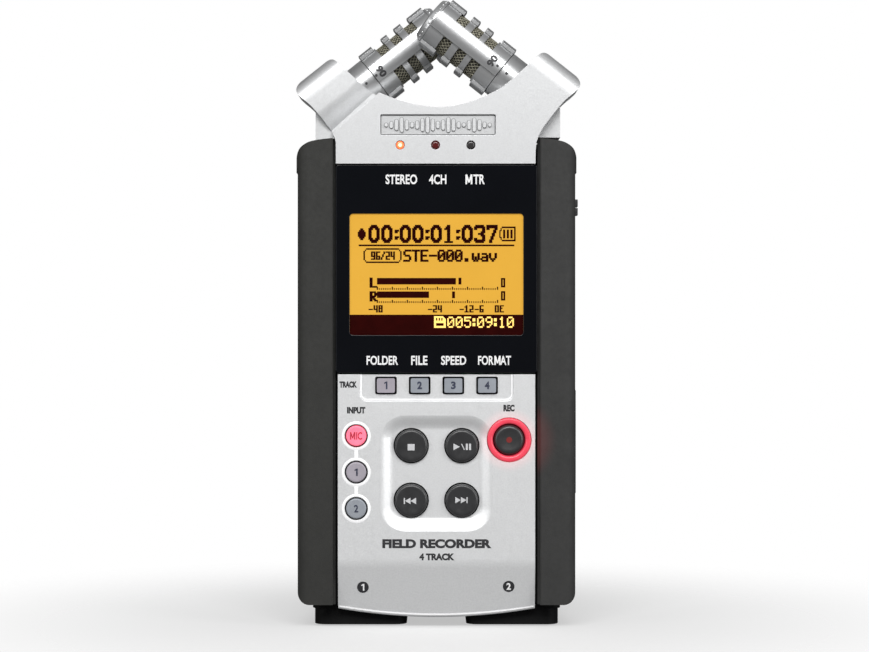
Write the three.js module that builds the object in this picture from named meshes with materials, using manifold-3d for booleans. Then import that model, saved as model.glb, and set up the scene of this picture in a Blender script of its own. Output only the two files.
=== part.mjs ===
// Portable field recorder: a hand-held two-microphone recorder that stands on its two jack housings.
// Local design axes: x to the right, y up, z toward the person holding it (the front). Millimetres.
// The exported group stands it upright: +Z up, the front facing -Y, origin at the middle of its footprint.
import * as THREE from 'three';
import { mergeVertices } from 'three/addons/utils/BufferGeometryUtils.js';
import Module from 'manifold-3d';

const wasm = await Module();
wasm.setup();

// ---- driving dimensions -------------------------------------------------------------------
const BODY_HALF_W = 35.2;      // half width over the rubber side grips
const BODY_DEPTH = 33.0;       // back rest face to the front of the grips
const BODY_TOP = 43.4;         // top of the grips
const BODY_BOTTOM = -73.4;     // bottom of the grips
const FOOT_BOTTOM = -78.95;    // lowest face of the two jack housings
const GRIP_INNER = 25.9;       // inner edge of a grip on the front
const SPLIT_Z = 16.0;          // where the rear shell meets the grips
const WALL = 2.0;
const GAP = 0.3;               // assembly clearance
const LENS = { x: 25.2, y0: -15.3, y1: 36.7, z0: 30.8, z1: 32.5 };
const PANEL = { x: 24.7, y0: -76.2, y1: -15.7, z0: 29.4, z1: 32.3 };
const DISH = { x: 13.75, y0: -54.8, y1: -26.3, r: 5.8, floor: 31.1 };
const TRACK_X = [-12.67, -4.22, 4.22, 12.67];
const TRACK_Y = -18.5;
const INPUT_X = -20.1;
const INPUT_Y = [-31.1, -40.2, -49.3];
const TRANSPORT = { x: 6.35, y0: -33.6, y1: -47.3, r: 4.2 };
const REC = { x: 18.2, y: -32.1, rButton: 3.75, rRingIn: 4.1, rRingOut: 5.5 };
const LED_X = [-9.1, -0.25, 8.6];
const LED_Y = 41.65;
const MIC_ANGLE = 38.25 * Math.PI / 180;   // microphone axis above the horizontal
const MIC = { x: 10.4, y: 64.8, zRight: 25.3, zLeft: 10.7 };
const HEAD_MID_Z = 18.0;       // the two halves of the head are turned 180 degrees about this line
const JACK_X = 19.15, JACK_Z = 15.2, JACK_R = 10.2;
const SIDE_Z = 23.5;           // height of the side controls above the back

// ---- helpers ------------------------------------------------------------------------------
function solid(geometry) {
  const g = geometry.clone();
  for (const a of ['normal', 'uv', 'uv1', 'color']) if (g.getAttribute(a)) g.deleteAttribute(a);
  const m = mergeVertices(g, 1e-4);
  return new wasm.Manifold(new wasm.Mesh({
    numProp: 3,
    vertProperties: new Float32Array(m.getAttribute('position').array),
    triVerts: new Uint32Array(m.index.array),
  }));
}
function geometryOf(manifold) {
  const mesh = manifold.getMesh();
  const g = new THREE.BufferGeometry();
  g.setAttribute('position', new THREE.BufferAttribute(new Float32Array(mesh.vertProperties), 3));
  g.setIndex(new THREE.BufferAttribute(new Uint32Array(mesh.triVerts), 1));
  g.computeVertexNormals();
  return g;
}
function ccw(pts) {
  let a = 0;
  for (let i = 0; i < pts.length; i++) {
    const [x0, y0] = pts[i], [x1, y1] = pts[(i + 1) % pts.length];
    a += x0 * y1 - x1 * y0;
  }
  return a < 0 ? pts.slice().reverse() : pts;
}
// A flat outline in x, y pushed from z0 to z1.
function slab(pts, z0, z1) {
  const shape = new THREE.Shape(ccw(pts).map(([x, y]) => new THREE.Vector2(x, y)));
  const g = new THREE.ExtrudeGeometry(shape, { depth: z1 - z0, bevelEnabled: false, steps: 1 });
  g.translate(0, 0, z0);
  return solid(g);
}
// An outline in x, z pushed along y from y0 to y1.
function slabY(ptsXZ, y0, y1) {
  const shape = new THREE.Shape(ccw(ptsXZ.map(([x, z]) => [x, -z])).map(([x, y]) => new THREE.Vector2(x, y)));
  const g = new THREE.ExtrudeGeometry(shape, { depth: y1 - y0, bevelEnabled: false, steps: 1 });
  g.rotateX(-Math.PI / 2);     // (x, y, z) -> (x, z, -y)
  g.translate(0, y0, 0);
  return solid(g);
}
// An outline in y, z pushed along x from x0 to x1.
function slabX(ptsYZ, x0, x1) {
  const shape = new THREE.Shape(ccw(ptsYZ).map(([x, y]) => new THREE.Vector2(x, y)));
  const g = new THREE.ExtrudeGeometry(shape, { depth: x1 - x0, bevelEnabled: false, steps: 1 });
  g.applyMatrix4(new THREE.Matrix4().makeBasis(
    new THREE.Vector3(0, 1, 0), new THREE.Vector3(0, 0, 1), new THREE.Vector3(1, 0, 0)));
  g.translate(x0, 0, 0);
  return solid(g);
}
const box = (x0, x1, y0, y1, z0, z1) => solid(
  new THREE.BoxGeometry(x1 - x0, y1 - y0, z1 - z0).translate((x0 + x1) / 2, (y0 + y1) / 2, (z0 + z1) / 2));
function rounded(x0, x1, y0, y1, r, n = 3) {
  const pts = [];
  for (const [cx, cy, a0] of [[x1 - r, y1 - r, 0], [x0 + r, y1 - r, 90], [x0 + r, y0 + r, 180], [x1 - r, y0 + r, 270]]) {
    for (let i = 0; i <= n; i++) {
      const a = (a0 + 90 * i / n) * Math.PI / 180;
      pts.push([cx + r * Math.cos(a), cy + r * Math.sin(a)]);
    }
  }
  return pts;
}
function circle(cx, cy, r, n = 24, phase = 0) {
  const pts = [];
  for (let i = 0; i < n; i++) {
    const a = 2 * Math.PI * (i + phase) / n;
    pts.push([cx + r * Math.cos(a), cy + r * Math.sin(a)]);
  }
  return pts;
}
function sector(r0, r1, a0, a1, n) {
  const pts = [];
  for (let i = 0; i <= n; i++) {
    const a = (a0 + (a1 - a0) * i / n) * Math.PI / 180;
    pts.push([r1 * Math.cos(a), r1 * Math.sin(a)]);
  }
  if (r0 <= 0) pts.push([0, 0]);
  else for (let i = n; i >= 0; i--) {
    const a = (a0 + (a1 - a0) * i / n) * Math.PI / 180;
    pts.push([r0 * Math.cos(a), r0 * Math.sin(a)]);
  }
  return pts;
}
const rod = (cx, cy, r, z0, z1, n = 24) => slab(circle(cx, cy, r, n), z0, z1);
const rodY = (cx, cz, r, y0, y1, n = 24) => slabY(circle(cx, cz, r, n), y0, y1);
const rodX = (cy, cz, r, x0, x1, n = 20) => slabX(circle(cy, cz, r, n), x0, x1);
function lathe(profile, n = 28) {              // profile of [radius, height], turned about local z
  const g = new THREE.LatheGeometry(profile.map(([r, h]) => new THREE.Vector2(r, h)), n);
  g.rotateX(Math.PI / 2);
  return solid(g);
}

const part = new THREE.Group();
function add(name, manifold, look, parent = part, at = null) {
  const g = geometryOf(manifold);
  const mesh = new THREE.Mesh(g, new THREE.MeshStandardMaterial({
    color: look[0], roughness: look[1], metalness: look[2],
  }));
  if (at) { g.translate(-at[0], -at[1], -at[2]); mesh.position.set(at[0], at[1], at[2]); }
  mesh.name = name;
  parent.add(mesh);
  return mesh;
}
const SILVER = [0xc9cacb, 0.38, 0.55], RUBBER = [0x343431, 0.8, 0], BLACK = [0x101113, 0.4, 0];
const GLOSS = [0x0b0c10, 0.06, 0], GREY = [0x8e8c94, 0.5, 0], STEEL = [0xb8b8b8, 0.3, 1];
const MESHY = [0x4a483c, 0.5, 0.8], RED = [0xc02018, 0.3, 0], GREEN = [0x14502e, 0.5, 0];
const AMBER = [0xd8a84c, 0.4, 0], BRASS = [0xb5914a, 0.35, 1], DARK = [0x1c1d1f, 0.55, 0];

// ---- rear shell ---------------------------------------------------------------------------
const BAY = { x: 16.0, y0: -53.0, y1: 1.5 };
const BUSH = { x: 0, y: 9.6, r: 5.0 };
const SCREWS = [[-28.6, 37.6], [28.6, 37.6], [-28.6, -50.0], [28.6, -50.0]];
let rear = slab(rounded(-34.8, 34.8, -72.0, 43.1, 3.0), 0, SPLIT_Z)
  .intersect(slabY([[-34.8, 16.5], [-34.8, 4.2], [-33.9, 1.5], [-31.6, 0], [31.6, 0], [33.9, 1.5], [34.8, 4.2], [34.8, 16.5]], -80, 50))
  .subtract(box(-32.8, 32.8, -73, 41.1, WALL, 17))
  .subtract(box(-BAY.x, BAY.x, BAY.y0, BAY.y1, -1, 3))
  .subtract(rod(BUSH.x, BUSH.y, BUSH.r + GAP, -1, 3));
for (const [x, y] of SCREWS) {
  rear = rear.add(rod(x, y, 3.6, 1.5, 9, 16)).subtract(rod(x, y, 2.8, -1, 3.4, 16)).subtract(rod(x, y, 1.45, 3, 10, 12));
}
for (let i = -3; i <= 3; i++) {
  const h = Math.sqrt(Math.max(0, 81 - (i * 2.6) ** 2)) * 0.92;
  rear = rear.subtract(slab(rounded(-h, h, 27 + i * 2.6 - 0.65, 27 + i * 2.6 + 0.65, 0.6, 2), -1, 3));
}
add('rear_shell', rear, DARK);

// ---- side grips ---------------------------------------------------------------------------
// An angle section: a front rail, a side wall, and short end walls, with windows for the side controls.
function grip() {
  const section = [[35.2, 16.3], [35.2, 29.2], [34.5, 31.4], [32.6, 33.0], [25.9, 33.0], [25.9, 30.3], [32.9, 30.3], [32.9, 16.3]];
  const outline = [[20, BODY_BOTTOM], [32.0, BODY_BOTTOM], [33.8, -72.6], [34.8, -70.6], [34.8, 34.6], [35.2, 35.0], [35.2, 38.4],
    [34.9, 40.3], [34.0, 41.7], [32.9, 42.4], [30, 43.1], [26.4, BODY_TOP], [20, BODY_TOP]];
  return slabY(section, BODY_BOTTOM, BODY_TOP)
    .add(box(25.9, 34.0, 41.4, BODY_TOP, 16.3, 31.2))
    .add(box(31.6, 34.0, BODY_BOTTOM, -71.4, 16.3, 31.2))
    .intersect(slab(outline, 10, 40));
}
const rightGrip = grip()
  .subtract(box(31, 40, 18.9, 34.0, 20.2, 26.8))            // record level rocker
  .subtract(box(31, 40, 3.4, 14.0, 20.4, 25.0))             // jog dial
  .subtract(box(31, 40, -8.3, -1.7, 20.6, 25.2))            // menu button
  .subtract(box(31, 40, -46.6, -19.4, 19.6, 27.4));         // card door
add('right_grip', rightGrip, RUBBER);
const leftGrip = grip().mirror([1, 0, 0])
  .subtract(box(-40, -31, 18.9, 34.0, 20.2, 26.8))          // volume rocker
  .subtract(box(-40, -31, -2.6, 10.6, 20.6, 26.4))          // power switch
  .subtract(rodX(-14.0, SIDE_Z, 3.3, -40, -31))             // headphone socket
  .subtract(box(-40, -31, -35.9, -28.1, 20.4, 25.0));       // data socket
add('left_grip', leftGrip, RUBBER);

// ---- front panel --------------------------------------------------------------------------
const panelOutline = [[-24.7, PANEL.y1], [24.7, PANEL.y1], [24.7, -74.35], [20, -75.0], [12, -75.8], [0, PANEL.y0], [-12, -75.8], [-20, -75.0], [-24.7, -74.35]];
let panel = slab(panelOutline, 20, 40).intersect(
  slabX([[-15, 29.4], [-15, PANEL.z1], [-63.1, PANEL.z1], [-73.6, 31.2], [-75.4, 30.3], [-76.4, 28.6], [-76.4, 27.4], [-74.8, 27.4], [-73.2, 29.0], [-62, 29.4]], -30, 30));
panel = panel.subtract(slab(rounded(-19.15, 19.15, -22.3, -10, 1.8, 3), 31.8, 35))
  .subtract(slab(rounded(-DISH.x + 1.2, DISH.x - 1.2, DISH.y0 + 1.2, DISH.y1 - 1.2, DISH.r - 1, 4), DISH.floor, 35));
for (const x of TRACK_X) panel = panel.subtract(box(x - 2.75, x + 2.75, TRACK_Y - 2.25, TRACK_Y + 2.25, 25, 40));
for (const y of INPUT_Y) panel = panel.subtract(rod(INPUT_X, y, 2.9, 25, 40));
for (const sx of [-1, 1]) for (const y of [TRANSPORT.y0, TRANSPORT.y1]) panel = panel.subtract(rod(sx * TRANSPORT.x, y, TRANSPORT.r + 0.35, 25, 40));
panel = panel.subtract(rod(REC.x, REC.y, REC.rRingOut + GAP, 25, 40));
add('front_panel', panel, SILVER);

// ---- display ------------------------------------------------------------------------------
add('display_lens', slab(rounded(-LENS.x, LENS.x, LENS.y0, LENS.y1, 0.8, 2), LENS.z0, LENS.z1), GLOSS);
add('lcd_module', box(-23.4, 23.4, -8.4, 27.0, 25.6, 30.4), AMBER);

// ---- buttons ------------------------------------------------------------------------------
TRACK_X.forEach((x, i) => add(`track_button_${i + 1}`,
  slab(rounded(x - 2.25, x + 2.25, TRACK_Y - 1.8, TRACK_Y + 1.8, 0.4, 2), 28.3, 32.6), GREY, part, [x, TRACK_Y, 30]));
['mic_input_button', 'input_1_button', 'input_2_button'].forEach((name, i) => add(name,
  rod(INPUT_X, INPUT_Y[i], 2.55, 28.3, 32.6), BLACK, part, [INPUT_X, INPUT_Y[i], 30]));
for (const [name, sx, y] of [['stop_button', -1, TRANSPORT.y0], ['play_pause_button', 1, TRANSPORT.y0],
  ['rewind_button', -1, TRANSPORT.y1], ['forward_button', 1, TRANSPORT.y1]]) {
  add(name, rod(sx * TRANSPORT.x, y, TRANSPORT.r, 28.3, 32.4), BLACK, part, [sx * TRANSPORT.x, y, 30]);
}
add('rec_button', rod(REC.x, REC.y, REC.rButton, 28.3, 32.8), BLACK, part, [REC.x, REC.y, 30]);
add('rec_light_ring', rod(REC.x, REC.y, REC.rRingOut, 28.6, 32.7, 28).subtract(rod(REC.x, REC.y, REC.rRingIn, 20, 40)), RED);
add('button_mat', box(-23.6, 20, -54.0, -15.9, 26.4, 27.5).add(box(18, 24.2, -38.5, -25.5, 26.4, 27.5)), DARK);

// ---- main board ---------------------------------------------------------------------------
add('main_board', box(-31.5, 31.5, -57.5, 36.6, 18.0, 19.6)
  .subtract(rod(SCREWS[0][0], SCREWS[0][1], 2.2, 10, 25, 12)).subtract(rod(SCREWS[1][0], SCREWS[1][1], 2.2, 10, 25, 12))
  .subtract(rod(SCREWS[2][0], SCREWS[2][1], 2.2, 10, 25, 12)).subtract(rod(SCREWS[3][0], SCREWS[3][1], 2.2, 10, 25, 12)), GREEN);

// ---- input housing and sockets ------------------------------------------------------------
let housing = slabY(rounded(-31.3, 31.3, 1.0, 27.0, 2.0, 3), -74.9, -72.3);
for (const sx of [-1, 1]) {
  housing = housing.add(slabY(rounded(sx * JACK_X - 11.65, sx * JACK_X + 11.65, 2.6, 27.0, 3.0, 4), FOOT_BOTTOM, -73))
    .subtract(rodY(sx * JACK_X, JACK_Z, JACK_R + GAP, -90, -60, 28));
}
housing = housing.subtract(rodY(0, JACK_Z, 3.6 + GAP, -90, -60, 16));
add('input_housing', housing, DARK);
// Combination socket: a 6.35 mm hole in the middle, three round contact holes about it, a shallow rim.
function comboJack(cx) {
  let j = rodY(cx, JACK_Z, JACK_R, -78.4, -60.0, 28)
    .subtract(rodY(cx, JACK_Z, 9.0, -80, -77.2, 28))
    .subtract(rodY(cx, JACK_Z, 3.25, -80, -62.0, 16));
  for (const a of [90, 210, 330]) {
    const r = 6.1, t = a * Math.PI / 180;
    j = j.subtract(rodY(cx + r * Math.cos(t), JACK_Z + r * Math.sin(t), 1.5, -80, -66.0, 10));
  }
  return j;
}
add('input_jack_1', comboJack(-JACK_X), BLACK);
add('input_jack_2', comboJack(JACK_X), BLACK);
add('dc_jack', rodY(0, JACK_Z, 3.6, -75.6, -63.0, 16).subtract(rodY(0, JACK_Z, 2.75, -80, -65.0, 16)).add(rodY(0, JACK_Z, 0.8, -74.6, -64.0, 8)), BLACK);

// ---- battery compartment, speaker, bush, screws -------------------------------------------
for (const [name, x, up] of [['battery_1', -7.45, 1], ['battery_2', 7.45, -1]]) {
  const y0 = -50.9, y1 = -1.6;
  let cell = rodY(x, 9.6, 7.1, y0, y1);
  cell = up > 0 ? cell.add(rodY(x, 9.6, 2.6, y1 - 0.5, y1 + 1.0, 12)) : cell.add(rodY(x, 9.6, 2.6, y0 - 1.0, y0 + 0.5, 12));
  add(name, cell, STEEL);
}
add('battery_contact_spring', box(-14.5, 14.5, -54.6, -54.0, 3.2, 16.2)
  .add(slabX([[-54.2, 4.2], [-54.2, 5.2], [-52.3, 9.0], [-52.3, 10.4], [-52.9, 10.4], [-52.9, 9.2], [-54.4, 6.0]], -11.5, -3.5))
  .add(slabX([[-54.2, 4.2], [-54.2, 5.2], [-52.3, 9.0], [-52.3, 10.4], [-52.9, 10.4], [-52.9, 9.2], [-54.4, 6.0]], 3.5, 11.5)), STEEL);
add('battery_door', slab(rounded(-15.7, 15.7, -52.7, 1.2, 1.5, 2), 0, 1.8), DARK, part, [0, -25.75, 0.9]);
add('speaker', lathe([[0, 2.6], [9.4, 2.6], [9.8, 3.0], [9.8, 4.4], [6.0, 6.6], [6.0, 9.5], [0, 9.5]], 24).translate([0, 27, 0]), BLACK);
add('tripod_bush', rod(BUSH.x, BUSH.y, BUSH.r, 0, 8.6, 24).subtract(rod(BUSH.x, BUSH.y, 3.1, -1, 7.0, 20)), BRASS);
SCREWS.forEach(([x, y], i) => add(`case_screw_${i + 1}`,
  rod(x, y, 2.45, 0.8, 3.0, 16).add(rod(x, y, 1.1, 2.5, 21.5, 10)).subtract(box(x - 0.3, x + 0.3, y - 1.4, y + 1.4, 0, 1.6)).subtract(box(x - 1.4, x + 1.4, y - 0.3, y + 0.3, 0, 1.6)), STEEL));

// ---- side controls and sockets ------------------------------------------------------------
const rockerBody = (s) => slabY([[33.2, 20.6], [35.0, 20.9], [35.15, 23.5], [35.0, 26.1], [33.2, 26.4]].map(([x, z]) => [s * x, z]), 19.5, 33.4);
add('rec_level_rocker', rockerBody(1).add(box(34.6, 35.8, 26.55, 28.45, 21.6, 25.4)).add(box(34.6, 35.8, 24.4, 26.3, 21.6, 25.4)),
  BLACK, part, [33.4, 26.45, SIDE_Z]);
add('volume_rocker', rockerBody(-1).subtract(box(-35.4, -34.75, 26.3, 26.6, 20, 27)).subtract(box(-35.4, -34.75, 25.0, 25.3, 20, 27)).subtract(box(-35.4, -34.75, 27.6, 27.9, 20, 27)),
  BLACK, part, [-33.4, 26.45, SIDE_Z]);
add('power_switch', box(-34.4, -33.0, 0.9, 7.1, 21.2, 25.8).add(box(-35.15, -34.2, 2.6, 5.4, 21.8, 25.2)), BLACK, part, [-34, 4, SIDE_Z]);
let dial = rod(29.0, 8.7, 6.2, 20.9, 24.5, 32);
for (let i = 0; i < 16; i++) {
  const a = 2 * Math.PI * (i + 0.5) / 16;
  dial = dial.subtract(rod(29.0 + 6.3 * Math.cos(a), 8.7 + 6.3 * Math.sin(a), 0.35, 20, 26, 6));
}
add('jog_dial', dial, BLACK, part, [29.0, 8.7, 22.7]);
add('menu_button', slabX(rounded(-8.0, -2.0, 20.9, 24.9, 1.2, 2), 33.2, 35.1), BLACK, part, [34.2, -5, 22.9]);
add('phones_jack', box(-32.5, -24.0, -18.0, -10.0, 19.9, 26.4).add(rodX(-14.0, SIDE_Z, 2.95, -35.0, -30)).subtract(rodX(-14.0, SIDE_Z, 1.8, -40, -25.5, 14)), BLACK);
add('usb_socket', box(-34.6, -25.0, -35.5, -28.5, 20.8, 24.6).subtract(box(-40, -27.0, -34.9, -29.1, 21.4, 24.0)).add(box(-33.0, -26.5, -34.0, -30.0, 22.4, 23.0)), STEEL);
add('sd_socket', box(0.5, 30.0, -45.8, -19.6, 21.2, 25.2).subtract(box(2.0, 40, -44.7, -20.1, 22.0, 24.6)), STEEL);
add('sd_card', slab([[3.4, -44.4], [32.8, -44.4], [32.8, -20.4], [5.4, -20.4], [3.4, -22.4]], 22.3, 24.3), DARK, part, [18, -32.4, 23.3]);
add('sd_door', slabY([[33.5, 19.9], [35.05, 19.9], [35.2, 20.4], [35.2, 26.6], [35.05, 27.1], [33.5, 27.1]], -45.9, -19.7), RUBBER, part, [34.5, -45.0, SIDE_Z]);

// ---- head ---------------------------------------------------------------------------------
// Two equal halves, one behind the other, each a plate with one raised ear that holds one microphone.
const NECK = [[-31.1, 43.75], [31.1, 43.75], [31.1, 51.8], [22.0, 52.0], [8.0, 50.4], [-8.0, 50.4], [-14.0, 51.8], [-26.5, 50.6], [-31.1, 49.3]];
const EAR = [[24.8, 43.75], [24.8, 40.15], [25.6, 44.1], [26.6, 46.35], [31.2, 51.95], [35.4, 55.4], [36.3, 57.2], [35.0, 59.0], [27.6, 65.4],
  [22.7, 61.7], [19.2, 58.2], [16.3, 56.0], [10.9, 53.4], [5.9, 51.8], [0.6, 51.15], [-4.9, 51.8], [-10, 53.2], [-14.35, 54.8], [-26.0, 44.65]];
// The inside is hollow only where the other half covers it, so the raised ear is solid around its microphone.
const HOLLOW = [[23.2, 45.4], [13.9, 52.5], [11.6, 51.6], [6.2, 49.9], [0.6, 49.2], [-5.2, 49.9], [-10.6, 51.3], [-14.0, 52.6]];
function headHalf(base) {
  const top = base ? [...EAR.slice(2), [-25.2, 42.4], [-25.2, 37.0], [24.8, 37.0], EAR[1]] : [...EAR.slice(2), [-25.0, 43.75], [24.9, 43.75]];
  let h = slab(top, HEAD_MID_Z + 0.15, 33.0).add(slab(NECK, HEAD_MID_Z + 0.15, 26.0));
  const hollow = base ? [[-23.3, 39.0], [22.9, 39.0], ...HOLLOW, [-23.9, 44.0]] : [[-22.0, 45.8], [22.4, 45.8], ...HOLLOW.slice(1)];
  h = h.subtract(slab(hollow, HEAD_MID_Z - 1, 31.2));
  const bore = rod(0, 0, 6.4, -14, 8, 28);
  return h.subtract(bore.transform(micMatrix(1, MIC.zRight).toArray()));
}
function micMatrix(side, z) {
  const d = new THREE.Vector3(-side * Math.cos(MIC_ANGLE), Math.sin(MIC_ANGLE), 0);
  const X = new THREE.Vector3(0, 0, 1);
  const Y = new THREE.Vector3().crossVectors(d, X);
  return new THREE.Matrix4().makeBasis(X, Y, d).setPosition(side * MIC.x, MIC.y, z);
}
const turnAboutMid = new THREE.Matrix4().makeTranslation(0, 0, HEAD_MID_Z)
  .multiply(new THREE.Matrix4().makeRotationY(Math.PI)).multiply(new THREE.Matrix4().makeTranslation(0, 0, -HEAD_MID_Z));
let headFront = headHalf(true);
for (const x of LED_X) headFront = headFront.subtract(rod(x, LED_Y, 1.25, 25, 40, 12));
headFront = headFront.subtract(slab(rounded(-14.05, 14.8, 44.15, 49.3, 0.6, 2), 32.6, 40));
add('head_front_shell', headFront, SILVER);
add('head_rear_shell', headHalf(false).transform(turnAboutMid.toArray()), SILVER);
['led_stereo', 'led_four_channel', 'led_multitrack'].forEach((name, i) => add(name, rod(LED_X[i], LED_Y, 1.0, 29.0, 33.0, 12), RED));

// ---- microphones --------------------------------------------------------------------------
// Local z runs along the microphone from its collar to its tip, local x faces the front.
function cage(side) {
  const a0 = side > 0 ? -16 : -25.5, a1 = side > 0 ? 25.5 : 16;
  let c = slab(circle(0, 0, 6.2, 32), -6.9, 13.6);
  c = c.subtract(slab(circle(0, 0, 5.45, 32), -10, 20));
  c = c.add(slab(sector(5.6, 6.7, a0, a1, 4), -6.9, 13.6)).add(slab(sector(5.6, 6.7, 180 + a0, 180 + a1, 4), -6.9, 13.6));
  for (const [s0, s1] of [[-2.34, 0.44], [2.06, 4.64], [6.6, 9.4]]) {
    c = c.subtract(slab(sector(0, 9, a1 + 2, 180 + a0 - 2, 6), s0, s1)).subtract(slab(sector(0, 9, 180 + a1 + 2, 360 + a0 - 2, 6), s0, s1));
  }
  for (const s of [-1, 1]) {
    for (const [s0, s1] of [[-6.9, -2.9], [0.5, 2.0], [4.7, 6.5], [9.5, 13.6]]) {
      c = c.add(box(-3.3, 3.3, s > 0 ? 5.5 : -7.05, s > 0 ? 7.05 : -5.5, s0, s1).subtract(slab(circle(0, 0, 5.45, 32), -10, 20)));
    }
  }
  return c.intersect(slab(circle(0, 0, 7.12, 28), -8, 15));
}
for (const [side, word] of [[-1, 'left'], [1, 'right']]) {
  const holder = new THREE.Group();
  holder.applyMatrix4(micMatrix(side, side > 0 ? MIC.zRight : MIC.zLeft));
  part.add(holder);
  add(`mic_collar_${word}`, slab(circle(0, 0, 6.1, 28), -13.0, -7.2).subtract(slab(circle(0, 0, 4.2, 20), -14, -6)), SILVER, holder);
  add(`mic_cage_${word}`, cage(side), SILVER, holder);
  add(`mic_screen_${word}`, slab(circle(0, 0, 5.15, 24), -6.0, 12.2).subtract(slab(circle(0, 0, 4.75, 24), -9, 11.8)), MESHY, holder);
  add(`mic_capsule_${word}`, lathe([[0, -5.0], [3.4, -5.0], [4.4, -2.0], [4.4, 8.6], [3.2, 9.2], [0, 9.2]], 20), BLACK, holder);
  add(`mic_cap_${word}`, lathe([[0, 12.6], [5.1, 12.6], [5.1, 13.9], [6.3, 13.9], [6.2, 14.5], [5.6, 15.5], [5.0, 15.8], [0, 15.8]], 24), BLACK, holder);
}

// ---- stand it up --------------------------------------------------------------------------
const recorder = new THREE.Group();
part.rotation.x = Math.PI / 2;
part.position.set(0, BODY_DEPTH / 2, -FOOT_BOTTOM);
recorder.add(part);
export default recorder;
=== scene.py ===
import bpy, bmesh, math
from mathutils import Vector, Matrix


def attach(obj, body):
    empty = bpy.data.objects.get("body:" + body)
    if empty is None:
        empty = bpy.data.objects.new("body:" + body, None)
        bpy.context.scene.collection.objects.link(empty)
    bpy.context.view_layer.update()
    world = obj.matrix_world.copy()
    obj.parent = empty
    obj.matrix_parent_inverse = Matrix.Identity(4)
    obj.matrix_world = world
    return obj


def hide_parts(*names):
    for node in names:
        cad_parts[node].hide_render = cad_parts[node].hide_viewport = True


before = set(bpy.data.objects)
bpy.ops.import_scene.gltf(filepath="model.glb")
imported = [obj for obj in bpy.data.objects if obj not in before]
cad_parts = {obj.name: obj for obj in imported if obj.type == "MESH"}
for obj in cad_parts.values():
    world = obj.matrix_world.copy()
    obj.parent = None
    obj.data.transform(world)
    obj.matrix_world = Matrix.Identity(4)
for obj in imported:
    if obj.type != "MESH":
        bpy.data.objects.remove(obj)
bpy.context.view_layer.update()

S = bpy.context.scene
# Design axes in millimetres: x right, y up, z toward the front. Row = (x, 16.5 - z, y + 78.95) / 1000.
M = Matrix(((0.001, 0, 0, 0), (0, 0, -0.001, 0.0165), (0, 0.001, 0, 0.07895), (0, 0, 0, 1)))
CHASSIS = "chassis"

# ------------------------------------------------------------------------------- materials
def mat(name, color, rough, metal=0.0, tint=0.06, tint_scale=90.0, rvar=0.05, rscale=700.0,
        bump=0.0, bscale=3000.0, bdist=0.00005, emit=None, estr=0.0, coat=0.0, spec=0.5, glow=None, vor=False):
    m = bpy.data.materials.new(name)
    m.use_nodes = True
    nt = m.node_tree
    b = nt.nodes["Principled BSDF"]
    L = nt.links.new
    tc = nt.nodes.new("ShaderNodeTexCoord")
    n1 = nt.nodes.new("ShaderNodeTexNoise"); n1.inputs["Scale"].default_value = tint_scale; n1.inputs["Detail"].default_value = 4
    L(tc.outputs["Object"], n1.inputs["Vector"])
    cr = nt.nodes.new("ShaderNodeValToRGB")
    lo = [max(0, c * (1 - tint)) for c in color[:3]] + [1]
    hi = [min(1, c * (1 + tint)) for c in color[:3]] + [1]
    cr.color_ramp.elements[0].position = 0.35; cr.color_ramp.elements[0].color = lo
    cr.color_ramp.elements[1].position = 0.65; cr.color_ramp.elements[1].color = hi
    L(n1.outputs["Fac"], cr.inputs["Fac"])
    L(cr.outputs["Color"], b.inputs["Base Color"])
    n2 = nt.nodes.new("ShaderNodeTexNoise"); n2.inputs["Scale"].default_value = rscale; n2.inputs["Detail"].default_value = 3
    L(tc.outputs["Object"], n2.inputs["Vector"])
    mr = nt.nodes.new("ShaderNodeMapRange")
    mr.inputs["From Min"].default_value = 0.3; mr.inputs["From Max"].default_value = 0.7
    mr.inputs["To Min"].default_value = max(0.01, rough - rvar); mr.inputs["To Max"].default_value = min(1, rough + rvar)
    L(n2.outputs["Fac"], mr.inputs["Value"]); L(mr.outputs["Result"], b.inputs["Roughness"])
    b.inputs["Metallic"].default_value = metal
    b.inputs["Specular IOR Level"].default_value = spec
    b.inputs["Coat Weight"].default_value = coat
    b.inputs["Coat Roughness"].default_value = 0.06
    if bump:
        if vor:
            n3 = nt.nodes.new("ShaderNodeTexVoronoi"); out = n3.outputs["Distance"]
        else:
            n3 = nt.nodes.new("ShaderNodeTexNoise"); n3.inputs["Detail"].default_value = 2; out = n3.outputs["Fac"]
        n3.inputs["Scale"].default_value = bscale
        L(tc.outputs["Object"], n3.inputs["Vector"])
        bp = nt.nodes.new("ShaderNodeBump"); bp.inputs["Strength"].default_value = bump; bp.inputs["Distance"].default_value = bdist
        L(out, bp.inputs["Height"]); L(bp.outputs["Normal"], b.inputs["Normal"])
    if emit:
        b.inputs["Emission Color"].default_value = (*emit, 1)
        b.inputs["Emission Strength"].default_value = estr
    if glow:      # light from the record ring spilling on the surface round it
        (cx, cy, cz), r0, r1, col, amount = glow
        c = M @ Vector((cx, cy, cz))
        vm = nt.nodes.new("ShaderNodeVectorMath"); vm.operation = "DISTANCE"
        vm.inputs[1].default_value = c
        L(tc.outputs["Object"], vm.inputs[0])
        g = nt.nodes.new("ShaderNodeMapRange"); g.interpolation_type = "SMOOTHERSTEP"
        g.inputs["From Min"].default_value = r0 / 1000; g.inputs["From Max"].default_value = r1 / 1000
        g.inputs["To Min"].default_value = amount; g.inputs["To Max"].default_value = 0
        L(vm.outputs["Value"], g.inputs["Value"])
        b.inputs["Emission Color"].default_value = (*col, 1)
        L(g.outputs["Result"], b.inputs["Emission Strength"])
    return m

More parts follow.
